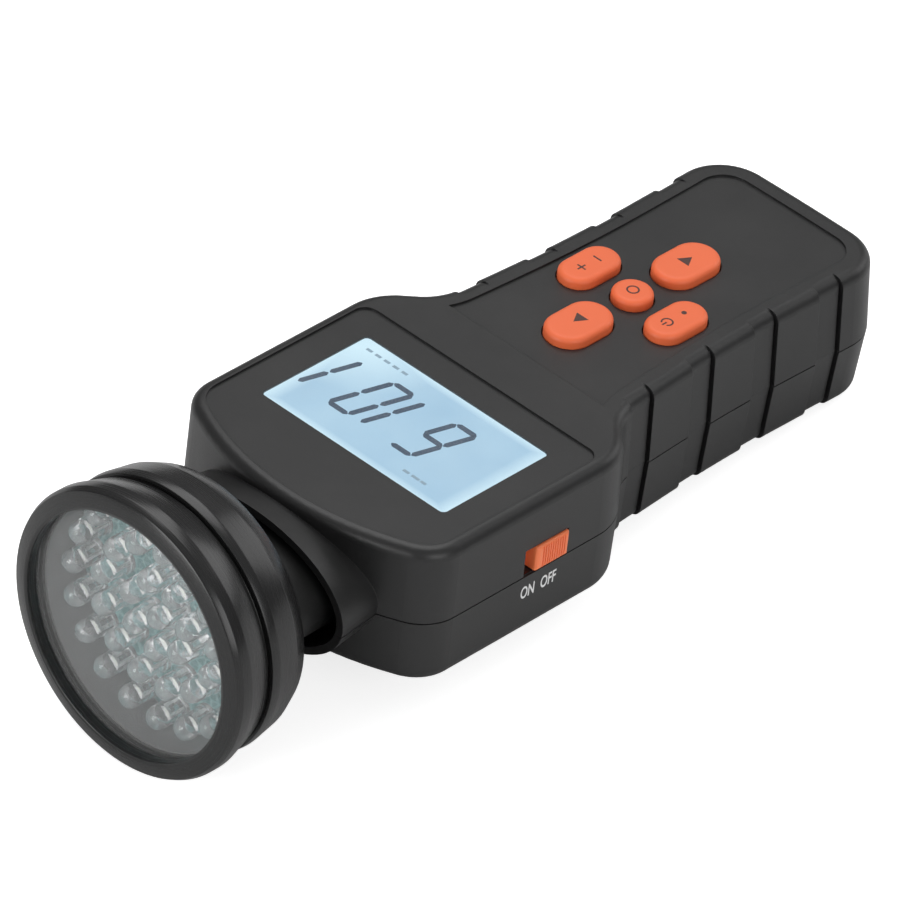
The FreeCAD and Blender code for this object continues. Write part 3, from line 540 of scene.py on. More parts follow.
@dataclass(frozen=True)
class Moulded(Finish):
    """Moulded plastic or rubber with grain, softly broken edges with a painted highlight along them, and a
    little dust.
    """

    colour: Colour
    roughness: float = 0.45
    grain: float = 5200.0
    depth: float = 0.000012
    tone: float = 0.10
    dust: float = 0.3
    edge_highlight: float = 0.35
    radius: float = 0.00018

    def paint(self, graph: Graph, shader: bpy.types.Node, place: object, effects: Effects) -> None:
        """Paints grain, a painted highlight along the edges, and dust with the shared effects."""
        grain = effects.use(graph, effects.grain, place, Scale=self.grain, Tone_Change=self.tone)
        dust = effects.use(graph, effects.dust, place, Amount=self.dust)
        edges = effects.use(graph, effects.edges, place, Radius=self.radius)
        tone = graph.tinted(self.colour, grain.outputs["Tone"])
        # Painted highlight: the colour is lightened along the edges by the edge mask.
        dressing = graph.blend(graph.maths("MULTIPLY", edges.outputs["Mask"], self.edge_highlight), tone,
                           scaled(self.colour, 1.9))
        dusty = graph.blend(graph.maths("MULTIPLY", dust.outputs["Mask"], 0.09), dressing, (0.42, 0.41, 0.39))
        graph.put(shader, "Base Color", dusty)
        rough = graph.spread(grain.outputs["Height"], self.roughness - 0.05, self.roughness + 0.05)
        matt = graph.maths("MULTIPLY", dust.outputs["Mask"], 0.12)
        graph.put(shader, "Roughness", graph.maths("ADD", rough, matt))
        graph.relief(shader, grain.outputs["Height"], self.depth, normal=edges.outputs["Normal"])


@dataclass(frozen=True)
class Turned(Finish):
    """Metal turned on a lathe round the lamp axis: fine rings under a black skin."""

    colour: Colour
    roughness: float = 0.36
    ring_pitch: float = 0.00022
    depth: float = 0.000006
    axis_z: float = 0.016

    def paint(self, graph: Graph, shader: bpy.types.Node, place: object, effects: Effects) -> None:
        """Paints rings from the distance to the axis and the place along it, and a painted highlight along
        the edges.
        """
        across, along, up = graph.split(place)
        height = graph.maths("SUBTRACT", up, self.axis_z)
        square = graph.maths("ADD", graph.maths("MULTIPLY", across, across),
                             graph.maths("MULTIPLY", height, height))
        radius = graph.maths("SQRT", square)
        rings = graph.add("CombineXYZ")
        graph.put(rings, 0, along)
        graph.put(rings, 1, radius)
        lines = graph.noise(rings.outputs[0], 1.0 / self.ring_pitch, 3.0, 0.6)
        grain = effects.use(graph, effects.grain, place, Scale=7000.0, Tone_Change=0.12)
        edges = effects.use(graph, effects.edges, place, Radius=0.00015)
        tone = graph.tinted(self.colour, grain.outputs["Tone"])
        # Painted highlight: the colour is lightened along the edges by the edge mask.
        share = graph.maths("MULTIPLY", edges.outputs["Mask"], 0.5)
        graph.put(shader, "Base Color", graph.blend(share, tone, scaled(self.colour, 2.2)))
        graph.put(shader, "Roughness", graph.spread(lines, self.roughness - 0.06, self.roughness + 0.06))
        mixed = graph.maths("ADD", graph.maths("MULTIPLY", lines, 0.7),
                            graph.maths("MULTIPLY", grain.outputs["Height"], 0.3))
        graph.relief(shader, mixed, self.depth, normal=edges.outputs["Normal"])


@dataclass(frozen=True)
class Plated(Finish):
    """Bright plated or tinned metal with faint brushing."""

    colour: Colour = (0.62, 0.62, 0.6)
    roughness: float = 0.28
    streak: tuple[float, float, float] = (9000.0, 900.0, 9000.0)
    metallic: float = 1.0

    def paint(self, graph: Graph, shader: bpy.types.Node, place: object, effects: Effects) -> None:
        """Paints streaks along one axis, and darker tarnish."""
        stretch = graph.add("Mapping")
        graph.put(stretch, "Vector", place)
        graph.put(stretch, "Scale", self.streak)
        lines = graph.noise(stretch.outputs[0], 1.0, 2.0)
        tarnish = graph.remap(graph.noise(place, 420.0, 3.0), 0.4, 0.75, 0.0, 0.5)
        graph.put(shader, "Base Color", graph.blend(tarnish, self.colour, scaled(self.colour, 0.55)))
        graph.put(shader, "Roughness", graph.spread(lines, self.roughness - 0.08, self.roughness + 0.12))
        graph.put(shader, "Metallic", self.metallic)
        graph.relief(shader, lines, 0.000004, 0.6)


@dataclass(frozen=True)
class ClearSheet(Finish):
    """Polished clear sheet that light passes straight through."""

    colour: Colour = (0.9, 0.95, 0.97)
    alpha: float = 0.1

    def paint(self, graph: Graph, shader: bpy.types.Node, place: object, effects: Effects) -> None:
        """Paints it mostly clear, and a little more solid where it is dusty."""
        dust = effects.use(graph, effects.dust, place, Amount=0.6)
        graph.put(shader, "Base Color", graph.blend(dust.outputs["Mask"], self.colour, (0.8, 0.8, 0.78)))
        graph.put(shader, "Roughness", graph.remap(dust.outputs["Mask"], 0.0, 1.0, 0.03, 0.2))
        graph.put(shader, "IOR", 1.49)
        graph.put(shader, "Alpha", graph.remap(dust.outputs["Mask"], 0.0, 1.0, self.alpha, self.alpha + 0.06))


@dataclass(frozen=True)
class ClearResin(Finish):
    """Clear cast resin that bends light, for the lamps' domes."""

    colour: Colour = (0.97, 0.99, 1.0)

    def paint(self, graph: Graph, shader: bpy.types.Node, place: object, effects: Effects) -> None:
        """Paints it glass-clear, with a faint ripple from its mould."""
        graph.put(shader, "Base Color", self.colour)
        graph.put(shader, "IOR", 1.5)
        graph.put(shader, "Transmission Weight", 0.92)
        graph.put(shader, "Roughness", graph.remap(graph.noise(place, 900.0, 2.0), 0.35, 0.75, 0.0, 0.05))
        graph.relief(shader, graph.noise(place, 950.0, 1.0), 0.00007)


@dataclass(frozen=True)
class LitDisplay(Finish):
    """Liquid-crystal face lit from behind, paler towards its edges and one corner."""

    middle: Colour
    edge: Colour
    half: tuple[float, float]
    glow_corner: tuple[float, float]

    def paint(self, graph: Graph, shader: bpy.types.Node, place: object, effects: Effects) -> None:
        """Paints a glow from Object coordinates, under a glossy front."""
        shares = [graph.maths("DIVIDE", graph.maths("ABSOLUTE", part), half)
                  for part, half in zip(graph.split(place), self.half)]
        rim = graph.remap(graph.maths("MAXIMUM", *shares), 0.86, 1.0, 0.0, 0.75)
        corner = graph.add("VectorMath", operation="DISTANCE")
        graph.put(corner, 0, place)
        graph.put(corner, 1, (*self.glow_corner, 0.031))
        glow = graph.remap(corner.outputs["Value"], 0.004, 0.019, 0.85, 0.0)
        clouds = graph.remap(graph.noise(place, 60.0, 2.0), 0.3, 0.7, 0.0, 0.22)
        share = graph.maths("ADD", graph.maths("MAXIMUM", rim, glow), clouds, True)
        colour = graph.blend(share, self.middle, self.edge)
        graph.put(shader, "Base Color", scaled(self.middle, 0.08))
        graph.put(shader, "Emission Color", colour)
        graph.put(shader, "Emission Strength", 0.96)
        graph.put(shader, "Roughness", graph.spread(graph.noise(place, 2500.0, 1.0), 0.16, 0.24))


@dataclass(frozen=True)
class Lacquered(Finish):
    """Circuit board under solder lacquer, with faint copper tracks."""

    colour: Colour
    track: Colour
    pitch: float = 0.0016

    def paint(self, graph: Graph, shader: bpy.types.Node, place: object, effects: Effects) -> None:
        """Paints a cell pattern that stands for the tracks under the lacquer."""
        cells = graph.add("TexVoronoi", feature="DISTANCE_TO_EDGE")
        graph.put(cells, "Vector", place)
        graph.put(cells, "Scale", 1.0 / self.pitch)
        tracks = graph.remap(cells.outputs["Distance"], 0.05, 0.09, 1.0, 0.0)
        graph.put(shader, "Base Color", graph.blend(tracks, self.colour, self.track))
        graph.put(shader, "Roughness", graph.spread(graph.noise(place, 600.0, 2.0), 0.2, 0.34))
        graph.relief(shader, tracks, 0.00003)


@dataclass(frozen=True)
class Ink(Finish):
    """Printed ink or liquid-crystal marks, slightly uneven."""

    colour: Colour
    roughness: float = 0.5

    def paint(self, graph: Graph, shader: bpy.types.Node, place: object, effects: Effects) -> None:
        """Paints the colour, with thin places that are a little darker."""
        thin = graph.remap(graph.noise(place, 3800.0, 2.0), 0.5, 0.8, 0.0, 0.35)
        graph.put(shader, "Base Color", graph.blend(thin, self.colour, scaled(self.colour, 0.6)))
        graph.put(shader, "Roughness", graph.remap(thin, 0.0, 0.35, self.roughness, self.roughness + 0.15))


@dataclass(frozen=True)
class Leads(Finish):
    """Insulated leads: one of the pair is red and the other black."""

    red: Colour = (0.45, 0.02, 0.015)
    black: Colour = (0.015, 0.015, 0.016)

    def paint(self, graph: Graph, shader: bpy.types.Node, place: object, effects: Effects) -> None:
        """Paints red on one side of the middle plane and black on the other."""
        side = graph.maths("GREATER_THAN", graph.split(place)[0], 0.0)
        grain = effects.use(graph, effects.grain, place, Scale=6000.0, Tone_Change=0.15)
        graph.put(shader, "Base Color", graph.blend(side, self.black, self.red))
        graph.put(shader, "Roughness", graph.spread(grain.outputs["Height"], 0.32, 0.48))


@dataclass(frozen=True)
class Wrapped(Finish):
    """Printed sleeve of the block battery: a band of a second colour near its terminals."""

    sleeve: Colour = (0.03, 0.035, 0.045)
    band: Colour = (0.55, 0.32, 0.05)
    band_end_y: float = 0.066

    def paint(self, graph: Graph, shader: bpy.types.Node, place: object, effects: Effects) -> None:
        """Paints the sleeve, and the band of a second colour near the terminals."""
        near = graph.maths("LESS_THAN", graph.split(place)[1], self.band_end_y)
        dust = effects.use(graph, effects.dust, place, Amount=0.5)
        printed = graph.blend(near, self.sleeve, self.band)
        graph.put(shader, "Base Color", graph.blend(graph.maths("MULTIPLY", dust.outputs["Mask"], 0.2),
                                                    printed, (0.5, 0.5, 0.48)))
        graph.put(shader, "Roughness", graph.spread(graph.noise(place, 900.0, 3.0), 0.28, 0.42))
        graph.put(shader, "Coat Weight", 0.3)


CASE = Moulded("black_moulded_plastic", (0.0105, 0.0105, 0.0108), 0.40)
INNER = Moulded("black_inner_plastic", (0.014, 0.014, 0.014), 0.55, edge_highlight=0.2)
# Painted shade: the neck's black is darker than the case's, standing in for the shade between case and lamp
# head.
NECK_IN_PAINTED_SHADE = Moulded("black_neck_plastic_painted_shade", (0.004, 0.004, 0.004), 0.5, edge_highlight=0.15, dust=0.1)
ORANGE = Moulded("orange_silicone", (0.90, 0.165, 0.055), 0.48, 6500.0, 0.000008, 0.05, 0.25, 0.10, 0.00025)
# Painted light: the knob's orange is lighter than the keys', standing in for more light and sheen on it.
KNOB_PAINTED_LIGHT = Moulded("orange_knob_plastic_painted_light", (0.98, 0.230, 0.085), 0.42, 6500.0, 0.000008, 0.05, 0.25, 0.10, 0.00025)
GREY = Moulded("grey_liner_plastic", (0.15, 0.15, 0.152), 0.35, depth=0.000006, dust=0.1, edge_highlight=0.1)
WHITE = Moulded("white_moulded_plastic", (0.72, 0.72, 0.69), 0.42, tone=0.04, edge_highlight=0.1)
GUIDE = Moulded("pale_light_guide", (0.78, 0.83, 0.86), 0.25, depth=0.000004, tone=0.03, edge_highlight=0.1)
RUBBER = Moulded("black_rubber", (0.012, 0.012, 0.012), 0.6, 4200.0, 0.00002, edge_highlight=0.2)
STRIPES = Moulded("pink_strip_rubber", (0.42, 0.12, 0.11), 0.5, edge_highlight=0.1)
CHIP = Moulded("black_chip_resin", (0.016, 0.016, 0.017), 0.5, 9000.0, 0.000008, dust=0.1, edge_highlight=0.1)
ANODISED = Turned("black_anodised_metal", (0.010, 0.010, 0.0102), 0.25)
STEEL = Plated("plated_steel")
TINNED = Plated("tinned_lamp_frame", (0.92, 0.92, 0.92), 0.26, (7000.0, 7000.0, 900.0), 0.35)
LENS = ClearSheet("clear_acrylic_lens", (0.95, 0.96, 0.96), 0.08)
PANE = ClearSheet("clear_display_pane", (0.86, 0.93, 0.97), 0.035)
RESIN = ClearResin("clear_lamp_resin")
PHOSPHOR = Ink("pale_phosphor", (0.80, 0.82, 0.76), 0.4)
LACQUER = Lacquered("green_solder_lacquer", (0.008, 0.075, 0.035), (0.015, 0.13, 0.06))
LAMP_LACQUER = Lacquered("teal_solder_lacquer", (0.10, 0.24, 0.24), (0.20, 0.38, 0.38), 0.0026)
SEGMENT = Ink("liquid_crystal_segment", (0.020, 0.055, 0.110), 0.25)
FAINT = Ink("faint_liquid_crystal", (0.27, 0.40, 0.50), 0.25)
LEGEND = Ink("dark_key_print", (0.075, 0.030, 0.022), 0.5)
MARK = Ink("white_case_print", (0.80, 0.80, 0.80), 0.5)
WIRES = Leads("insulated_leads")
SLEEVE = Wrapped("battery_sleeve")
DISPLAY = LitDisplay("lit_liquid_crystal_face", (0.330, 0.530, 0.700), (0.66, 0.88, 0.98),
                     (0.0247, 0.0148), (-0.0247, 0.0148))


class Wardrobe:
    """Builds each finish once and dresses pieces with it."""

    def __init__(self, effects: Effects) -> None:
        """Starts with no finish built."""
        self.effects = effects
        self.built: dict[str, bpy.types.Material] = {}

    def material(self, finish: Finish) -> bpy.types.Material:
        """The finish's material, built at its first use."""
        if finish.name not in self.built:
            self.built[finish.name] = finish.material(self.effects)
        return self.built[finish.name]

    def carry(self, node: str, finish: Finish) -> None:
        """Dresses a carried-over CAD node through its material slots."""
        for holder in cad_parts[node].material_slots:
            holder.material = self.material(finish)

    def dress(self, piece: bpy.types.Object, finish: Finish) -> None:
        """Gives a new piece its first finish."""
        piece.data.materials.clear()
        piece.data.materials.append(self.material(finish))


def deliver(piece: bpy.types.Object, body: Body, slot: str, *nodes: str) -> None:
    """Lets a finished piece ride on its body and stand for CAD nodes.

    Args:
        piece: The piece.
        body: The body it moves with.
        slot: A material slot's name; not used.
        nodes: CAD nodes that it stands for.
    """
    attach(piece, body.value)
    if nodes:
        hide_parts(*nodes)
    LOG.info("piece %s: %d faces on %s", piece.name, len(piece.data.polygons), body.value)


@dataclass
class CaseShells:
    """Two half shells, the battery door and the neck, carried over and dressed."""

    def build(self, wardrobe: Wardrobe) -> None:
        """Dresses the CAD nodes."""
        for node in ("front_shell", "back_shell", "battery_door"):
            wardrobe.carry(node, CASE)
        # The neck's darker black is painted shade.
        wardrobe.carry("neck", NECK_IN_PAINTED_SHADE)


@dataclass
class InnerWorks:
    """Boards, display stack, battery and leads inside the case."""

    def build(self, wardrobe: Wardrobe) -> None:
        """Dresses the CAD nodes that no new piece stands for."""
        dressing = {
            STEEL: ("neck_screws", "board_screws", "switch_body"),
            RUBBER: ("lens_seal",),
            STRIPES: ("lcd_connector_strips",),
            WHITE: ("lcd_holder",),
            GUIDE: ("lcd_backlight",),
            LACQUER: ("main_board",),
            CHIP: ("microcontroller", "board_components"),
            INNER: ("battery_snap", "tact_switch_bodies", "switch_lever", "plunger_up", "plunger_down",
                    "plunger_fine", "plunger_power", "plunger_memory"),
            WIRES: ("lamp_leads", "battery_leads"),
            SLEEVE: ("battery",)}
        for finish, nodes in dressing.items():
            for node in nodes:
                wardrobe.carry(node, finish)


@dataclass
class LampHead:
    """Turned housing, bezel ring and lens round the lamp axis; places in millimetres."""

    axis_z: float = 0.016
    steps: int = 144
    edge: float = 0.00014

    def build(self, wardrobe: Wardrobe) -> None:
        """Turns the pieces on the lamp axis."""
        wardrobe.carry("reflector_wall", GREY)
        housing = self.turned("lamp_housing", (
            (-53.5, 6.0), (-53.5, 27.0), (-57.0, 28.6), (-62.4, 29.5), (-64.3, 29.3), (-64.3, 27.9),
            (-70.0, 27.9), (-70.0, 26.7), (-58.0, 26.7), (-58.0, 24.5), (-55.1, 24.5), (-55.1, 6.0)))
        wardrobe.dress(housing, ANODISED)
        deliver(housing, Body.CASE, "head_black_metal", "head_housing")
        ring = self.turned("lamp_bezel", (
            (-65.1, 27.98), (-65.1, 28.8), (-71.0, 30.5), (-73.3, 30.5), (-74.5, 29.9), (-75.3, 26.9),
            (-75.15, 26.2), (-72.6, 26.2), (-72.6, 27.98)))
        wardrobe.dress(ring, ANODISED)
        deliver(ring, Body.CASE, "head_black_metal", "bezel_ring")
        lens = self.turned("lamp_lens", (
            (-72.6, 0.0), (-72.6, 27.5), (-72.3, 27.8), (-70.9, 27.8), (-70.6, 27.5), (-70.6, 0.0)), False)
        wardrobe.dress(lens, LENS)
        deliver(lens, Body.CASE, "lens_clear", "lens")

    def turned(self, name: str, profile: Sequence[tuple[float, float]],
               closed: bool = True) -> bpy.types.Object:
        """Turned piece with broken edges.

        Args:
            name: The piece's name.
            profile: Pairs of place along Y and radius.
            closed: Whether the profile closes away from the axis.

        Returns:
            The piece.
        """
        piece = Bench.turned(name, profile, self.axis_z, self.steps, closed)
        if closed:
            Bench.soften(piece, self.edge, 2, 9)
        else:
            Bench.smooth(piece, 20)
        return piece


@dataclass
class LampArray:
    """Forty clear domed lamps on their board; lengths in millimetres."""

    base_y: float = -59.6
    axis_z: float = 16.0
    outer_ring: float = 23.2
    rings: tuple[tuple[int, float], ...] = ((1, 0.0), (7, 0.5), (13, 0.0), (19, 0.38))
    radius: float = 2.5
    height: float = 8.4

    def build(self, wardrobe: Wardrobe) -> None:
        """Models one lamp and its frame, then places the copies."""
        wardrobe.carry("led_board", LAMP_LACQUER)
        places = [Vector((self.outer_ring * ring / 3 * math.sin(turn), 0.0,
                          self.outer_ring * ring / 3 * math.cos(turn))) * MM
                  for ring, (count, start) in enumerate(self.rings)
                  for turn in (2 * math.pi * (start + i / count) for i in range(count))]
        dome = self.dome()
        wardrobe.dress(dome, RESIN)
        stem = self.lead_frame(wardrobe)
        domes = [Bench.copy(dome, f"dome_{i}", place) for i, place in enumerate(places)]
        stems = [Bench.copy(stem, f"stem_{i}", place) for i, place in enumerate(places)]
        for first in (dome, stem):
            bpy.data.objects.remove(first)
        deliver(Bench.join(domes, "lamp_domes"), Body.CASE, "lamp_resin", "leds")
        deliver(Bench.join(stems, "lamp_frames"), Body.CASE, "lamp_resin")

    def dome(self) -> bpy.types.Object:
        """Flanged barrel with a round end, flat on one side of its flange."""
        base, tip = self.base_y, self.base_y - self.height
        arc = [(tip + self.radius * (1 - math.cos(turn)), self.radius * math.sin(turn))
               for turn in (math.radians(12 * i) for i in range(8))]
        profile = arc + [(base - 1.1, self.radius), (base - 1.0, 2.78), (base - 0.1, 2.8), (base - 0.02, 2.7),
                         (base - 0.02, 0.0)]
        dome = Bench.turned("lamp_dome", profile, self.axis_z * MM, 24, False)
        cut = (self.radius + 0.06) * MM
        Bench.pick(dome, Pick.POINT, lambda place, normal: True)
        bpy.ops.mesh.bisect(plane_co=(0, 0, self.axis_z * MM - cut), plane_no=(0, 0, -1), clear_outer=True,
                            use_fill=True)
        Bench.clean(dome)
        Bench.smooth(dome, 30)
        return dome

    def lead_frame(self, wardrobe: Wardrobe) -> bpy.types.Object:
        """Two posts, one with a cup that holds the lit chip under a drop of phosphor."""
        base = self.base_y * MM
        z = self.axis_z * MM
        posts = []
        for x, reach in ((-0.75, 3.0), (0.95, 3.7)):
            post = Bench.block("post", (x * MM, base - reach / 2 * MM, z), (0.5 * MM, reach * MM, 0.45 * MM))
            wide = 0.45 if x < 0 else 0.12
            Bench.pick(post, Pick.FACE, lambda place, normal: normal.y < -0.9)
            bpy.ops.mesh.extrude_region_move(TRANSFORM_OT_translate={"value": (wide * MM, -0.5 * MM, 0)})
            bpy.ops.transform.resize(value=(2.6 if x < 0 else 1.2, 1, 1.8 if x < 0 else 1.2))
            Bench.clear()
            posts.append(post)
        seat = self.base_y - 3.4
        cup = Bench.turned("cup", ((seat, 0.0), (seat, 0.65), (seat - 0.9, 1.0), (seat - 0.9, 0.8),
                                   (seat - 0.35, 0.45), (seat - 0.35, 0.0)), z, 16, False)
        drop = Bench.turned("drop", ((seat - 0.3, 0.0), (seat - 0.3, 0.44), (seat - 0.78, 0.7),
                                     (seat - 0.85, 0.0)), z, 16, False)
        for piece in posts + [cup]:
            wardrobe.dress(piece, TINNED)
        wardrobe.dress(drop, PHOSPHOR)
        stem = Bench.join(posts + [cup, drop], "lamp_frame")
        Bench.smooth(stem, 35)
        return stem


@dataclass
class DisplayPanel:
    """Lit liquid-crystal face with its digits, close under a thin pane; lengths in millimetres."""

    half_x: float = 24.65
    half_y: float = 14.75
    corner: float = 1.1
    under_z: float = 29.8
    face_z: float = 30.7
    pane_z: float = 30.78
    top_z: float = 31.0
    thick: float = 0.04
    stroke: float = 1.3
    half_width: float = 2.6
    slant: float = 15.5
    pitch: float = 8.54
    first_x: float = 7.0
    bars: tuple[float, float, float] = (-6.3, 0.6, 8.0)
    shown: str = "6101"

    LIT = {"0": "abcdef", "1": "bc", "6": "acdefg"}

    def build(self, wardrobe: Wardrobe) -> None:
        """Makes the lit face and its pane, and lays the digits between them."""
        wardrobe.carry("lcd_glass", GUIDE)
        face = self.plate("display_face", self.under_z, self.face_z)
        wardrobe.dress(face, DISPLAY)
        deliver(face, Body.CASE, "display_glass")
        pane = self.plate("display_pane", self.pane_z, self.top_z)
        wardrobe.dress(pane, PANE)
        deliver(pane, Body.CASE, "window_clear", "display_window")
        strokes = [self.segment(index, letter) for index, digit in enumerate(self.shown)
                   for letter in self.LIT[digit]]
        digits = Bench.join(strokes, "display_digits")
        wardrobe.dress(digits, SEGMENT)
        deliver(digits, Body.CASE, "display_glass")
        bars = [self.bar(x, -10.6, length, 0.7) for x, length in ((15.3, 1.4), (13.2, 2.0), (10.7, 1.6))]
        bars += [self.bar(x, 11.9, 1.5, 0.7) for x in (-11.6, -14.0, -16.4, -18.8, -21.2)]
        ticks = Bench.join(bars, "display_faint_bars")
        wardrobe.dress(ticks, FAINT)
        deliver(ticks, Body.CASE, "display_glass")

    def plate(self, name: str, low: float, high: float) -> bpy.types.Object:
        """Plate that fills the display opening, with round corners and a broken top edge.

        Args:
            name: The piece's name.
            low: Height of its underside.
            high: Height of its top.

        Returns:
            The plate.
        """
        plate = Bench.block(name, (0, 0, (low + high) / 2 * MM),
                            (2 * self.half_x * MM, 2 * self.half_y * MM, (high - low) * MM))
        Bench.pick(plate, Pick.EDGE, lambda place, way: abs(way.z) > 0.9)
        bpy.ops.mesh.bevel(offset=self.corner * MM, segments=6)
        Bench.clear()
        Bench.soften(plate, 0.00006, 1, 60)
        return plate

    def bar(self, x: float, y: float, length: float, width: float) -> bpy.types.Object:
        """Short unlit bar on the face."""
        return Bench.block("bar", (x * MM, y * MM, (self.face_z + self.thick / 2) * MM),
                           (length * MM, width * MM, self.thick * MM))

    def segment(self, index: int, letter: str) -> bpy.types.Object:
        """One stroke of a digit, pointed at both ends.

        Args:
            index: Place of the digit from the reader's left.
            letter: Its usual letter, a to g.

        Returns:
            The stroke at its place.
        """
        top, middle, bottom = self.bars
        left = self.half_width if letter in "ef" else -self.half_width
        upright = letter in "bcef"
        if upright:
            ends = (top, middle) if letter in "bf" else (middle, bottom)
            y, length = sum(ends) / 2, abs(ends[1] - ends[0])
            x = left
        else:
            y = {"a": top, "g": middle, "d": bottom}[letter]
            x, length = 0.0, 2 * self.half_width
        lean = (y - middle) * math.tan(math.radians(self.slant))
        x += self.first_x - index * self.pitch + lean
        long = length - self.stroke - 0.12
        stroke = Bench.block("stroke", (0, 0, 0), (long * MM, self.stroke * MM, self.thick * MM))
        for side in (1, -1):
            Bench.pick(stroke, Pick.FACE, lambda place, normal: normal.x * side > 0.9)
            bpy.ops.mesh.extrude_region_move(
                TRANSFORM_OT_translate={"value": (side * self.stroke * 0.5 * MM, 0, 0)})
            bpy.ops.transform.resize(value=(1, 0.2, 1))
            Bench.clear()
        stroke.rotation_euler[2] = math.radians(90 - self.slant) if upright else 0.0
        stroke.location = (x * MM, y * MM, (self.face_z + self.thick / 2) * MM)
        return Bench.settle(stroke)


class Sign(Enum):
    """Simple symbols printed on the keys."""

    UP = "up"
    DOWN = "down"
    POWER = "power"
    DOT = "dot"
    RING = "ring"
    PLUS = "plus"
    MINUS = "minus"


@dataclass
class Keypad:
    """Five orange keys and the symbols printed on them; lengths in millimetres."""

    top_z: float = 33.2
    thick: float = 0.05
    line: float = 0.34
    sunk: float = 0.01
    prints: tuple[tuple[Body, Sign, float, float, float], ...] = (
        (Body.KEY_UP, Sign.UP, -0.2, 49.4, 1.5),
        (Body.KEY_DOWN, Sign.DOWN, 0.0, 80.0, 1.5),
        (Body.KEY_MEMORY, Sign.RING, 0.0, 64.6, 1.35),
        (Body.KEY_POWER, Sign.POWER, 11.7, 62.0, 1.3),
        (Body.KEY_POWER, Sign.DOT, 11.7, 66.9, 0.55),
        (Body.KEY_FINE, Sign.PLUS, -11.7, 62.1, 1.15),
        (Body.KEY_FINE, Sign.MINUS, -11.7, 66.7, 1.15))

    def build(self, wardrobe: Wardrobe) -> None:
        """Dresses the keys and lays the prints on their tops."""
        for key in ("up", "down", "fine", "power", "memory"):
            wardrobe.carry("key_" + key, ORANGE)
        for body, sign, x, y, size in self.prints:
            print_ = self.printed(sign, x * MM, y * MM, size * MM)
            wardrobe.dress(print_, LEGEND)
            deliver(print_, body, "key_orange")

    def printed(self, sign: Sign, x: float, y: float, size: float) -> bpy.types.Object:
        """One symbol, read from the tail.

        Args:
            sign: Which symbol.
            x: Its middle across the case.
            y: Its middle along the case.
            size: Half its height.

        Returns:
            The raised print.
        """
        z = (self.top_z - self.sunk) * MM
        thick = self.thick * MM
        name = "print_" + sign.value
        line = self.line * MM
        if sign in (Sign.UP, Sign.DOWN):
            piece = Bench.disc(name, (0, 0, 0), size * 1.2, thick, 3)
            piece.rotation_euler[2] = math.pi if sign is Sign.UP else 0.0
            piece.location = (x, y, z)
            return Bench.settle(piece)
        if sign is Sign.DOT:
            return Bench.disc(name, (x, y, z), size, thick, 24)
        if sign in (Sign.RING, Sign.POWER):
            gap = 38.0 if sign is Sign.POWER else 0.0
            ring = self.ring(name, (x, y, z), size, line, gap)
            if sign is Sign.RING:
                return ring
            bar = Bench.block(name, (x, y - size * 0.62, z + thick / 2), (line, size * 0.95, thick))
            return Bench.join([ring, bar], name)
        bars = [Bench.block(name, (x, y, z + thick / 2), (size * 1.9, line, thick))]
        if sign is Sign.PLUS:
            for way in (1, -1):
                bars.append(Bench.block(name, (x, y + way * (size * 0.475 + line / 4), z + thick / 2),
                                        (line, size * 0.95 - line / 2, thick)))
        return Bench.join(bars, name)

    def ring(self, name: str, centre: Sequence[float], outer: float, line: float,
             gap: float) -> bpy.types.Object:
        """Flat ring, open towards the lamp by a gap.

        Args:
            name: The piece's name.
            centre: Middle of its underside.
            outer: Outer radius.
            line: Width of its line.
            gap: Half the gap's angle in degrees.

        Returns:
            The ring.
        """
        Bench.clear()
        bpy.ops.mesh.primitive_circle_add(vertices=40, radius=outer, fill_type="NGON", location=(0, 0, 0))
        ring = Bench.settle(Bench.named(name))
        Bench.pick(ring, Pick.FACE, lambda place, normal: True)
        bpy.ops.mesh.inset(thickness=line, depth=0)
        bpy.ops.mesh.delete(type="FACE")
        if gap:
            Bench.pick(ring, Pick.FACE,
                       lambda place, normal: abs(math.degrees(math.atan2(place.x, -place.y))) < gap)
            bpy.ops.mesh.delete(type="FACE")
        Bench.clear()
        ring.location = centre
        Bench.settle(ring)
        Bench.raise_plate(ring, self.thick * MM)
        return ring


@dataclass
class SlideSwitch:
    """Ribbed slide knob and the marks printed beside it; lengths in millimetres."""

    mark_z: float = 10.2
    height: float = 2.9
    narrow: float = 0.62
    capital_share: float = 0.72
    ray_start_x: float = 60.0
    wall_x: float = 34.6
    marks: tuple[tuple[str, float], ...] = (("ON", 1.1), ("OFF", 6.9))

    def build(self, wardrobe: Wardrobe) -> None:
        """Dresses the knob and prints the marks on the case side."""
        # The knob's lighter orange is painted light.
        wardrobe.carry("switch_knob", KNOB_PAINTED_LIGHT)
        for text, y in self.marks:
            mark = self.printed(text, y)
            wardrobe.dress(mark, MARK)
            deliver(mark, Body.CASE, "case_plastic")

    def printed(self, text: str, y: float) -> bpy.types.Object:
        """Word as a thin raised print on the side wall.

        Args:
            text: The word.
            y: Its middle along the case.

        Returns:
            The print.
        """
        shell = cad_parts["back_shell"]
        start = Vector((self.ray_start_x, y, self.mark_z)) * MM
        hit, spot, _, _ = shell.ray_cast(start, (-1, 0, 0))
        wall = spot.x if hit else self.wall_x * MM
        Bench.clear()
        bpy.ops.object.text_add(location=(0, 0, 0))
        mark = bpy.context.object
        mark.data.body = text
        mark.data.size = self.height * MM / self.capital_share
        mark.data.align_x = "CENTER"
        mark.data.align_y = "CENTER"
        mark.data.extrude = 0.00003
        mark.data.offset = 0.00006
        mark.data.resolution_u = 6
        bpy.ops.object.convert(target="MESH")
        mark = Bench.named("mark_" + text.lower())
        mark.scale = (self.narrow, 1, 1)
        mark.rotation_euler = (math.pi / 2, 0, math.pi / 2)
        mark.location = (wall, y * MM, self.mark_z * MM)
        Bench.settle(mark)
        Bench.clean(mark)
        return mark


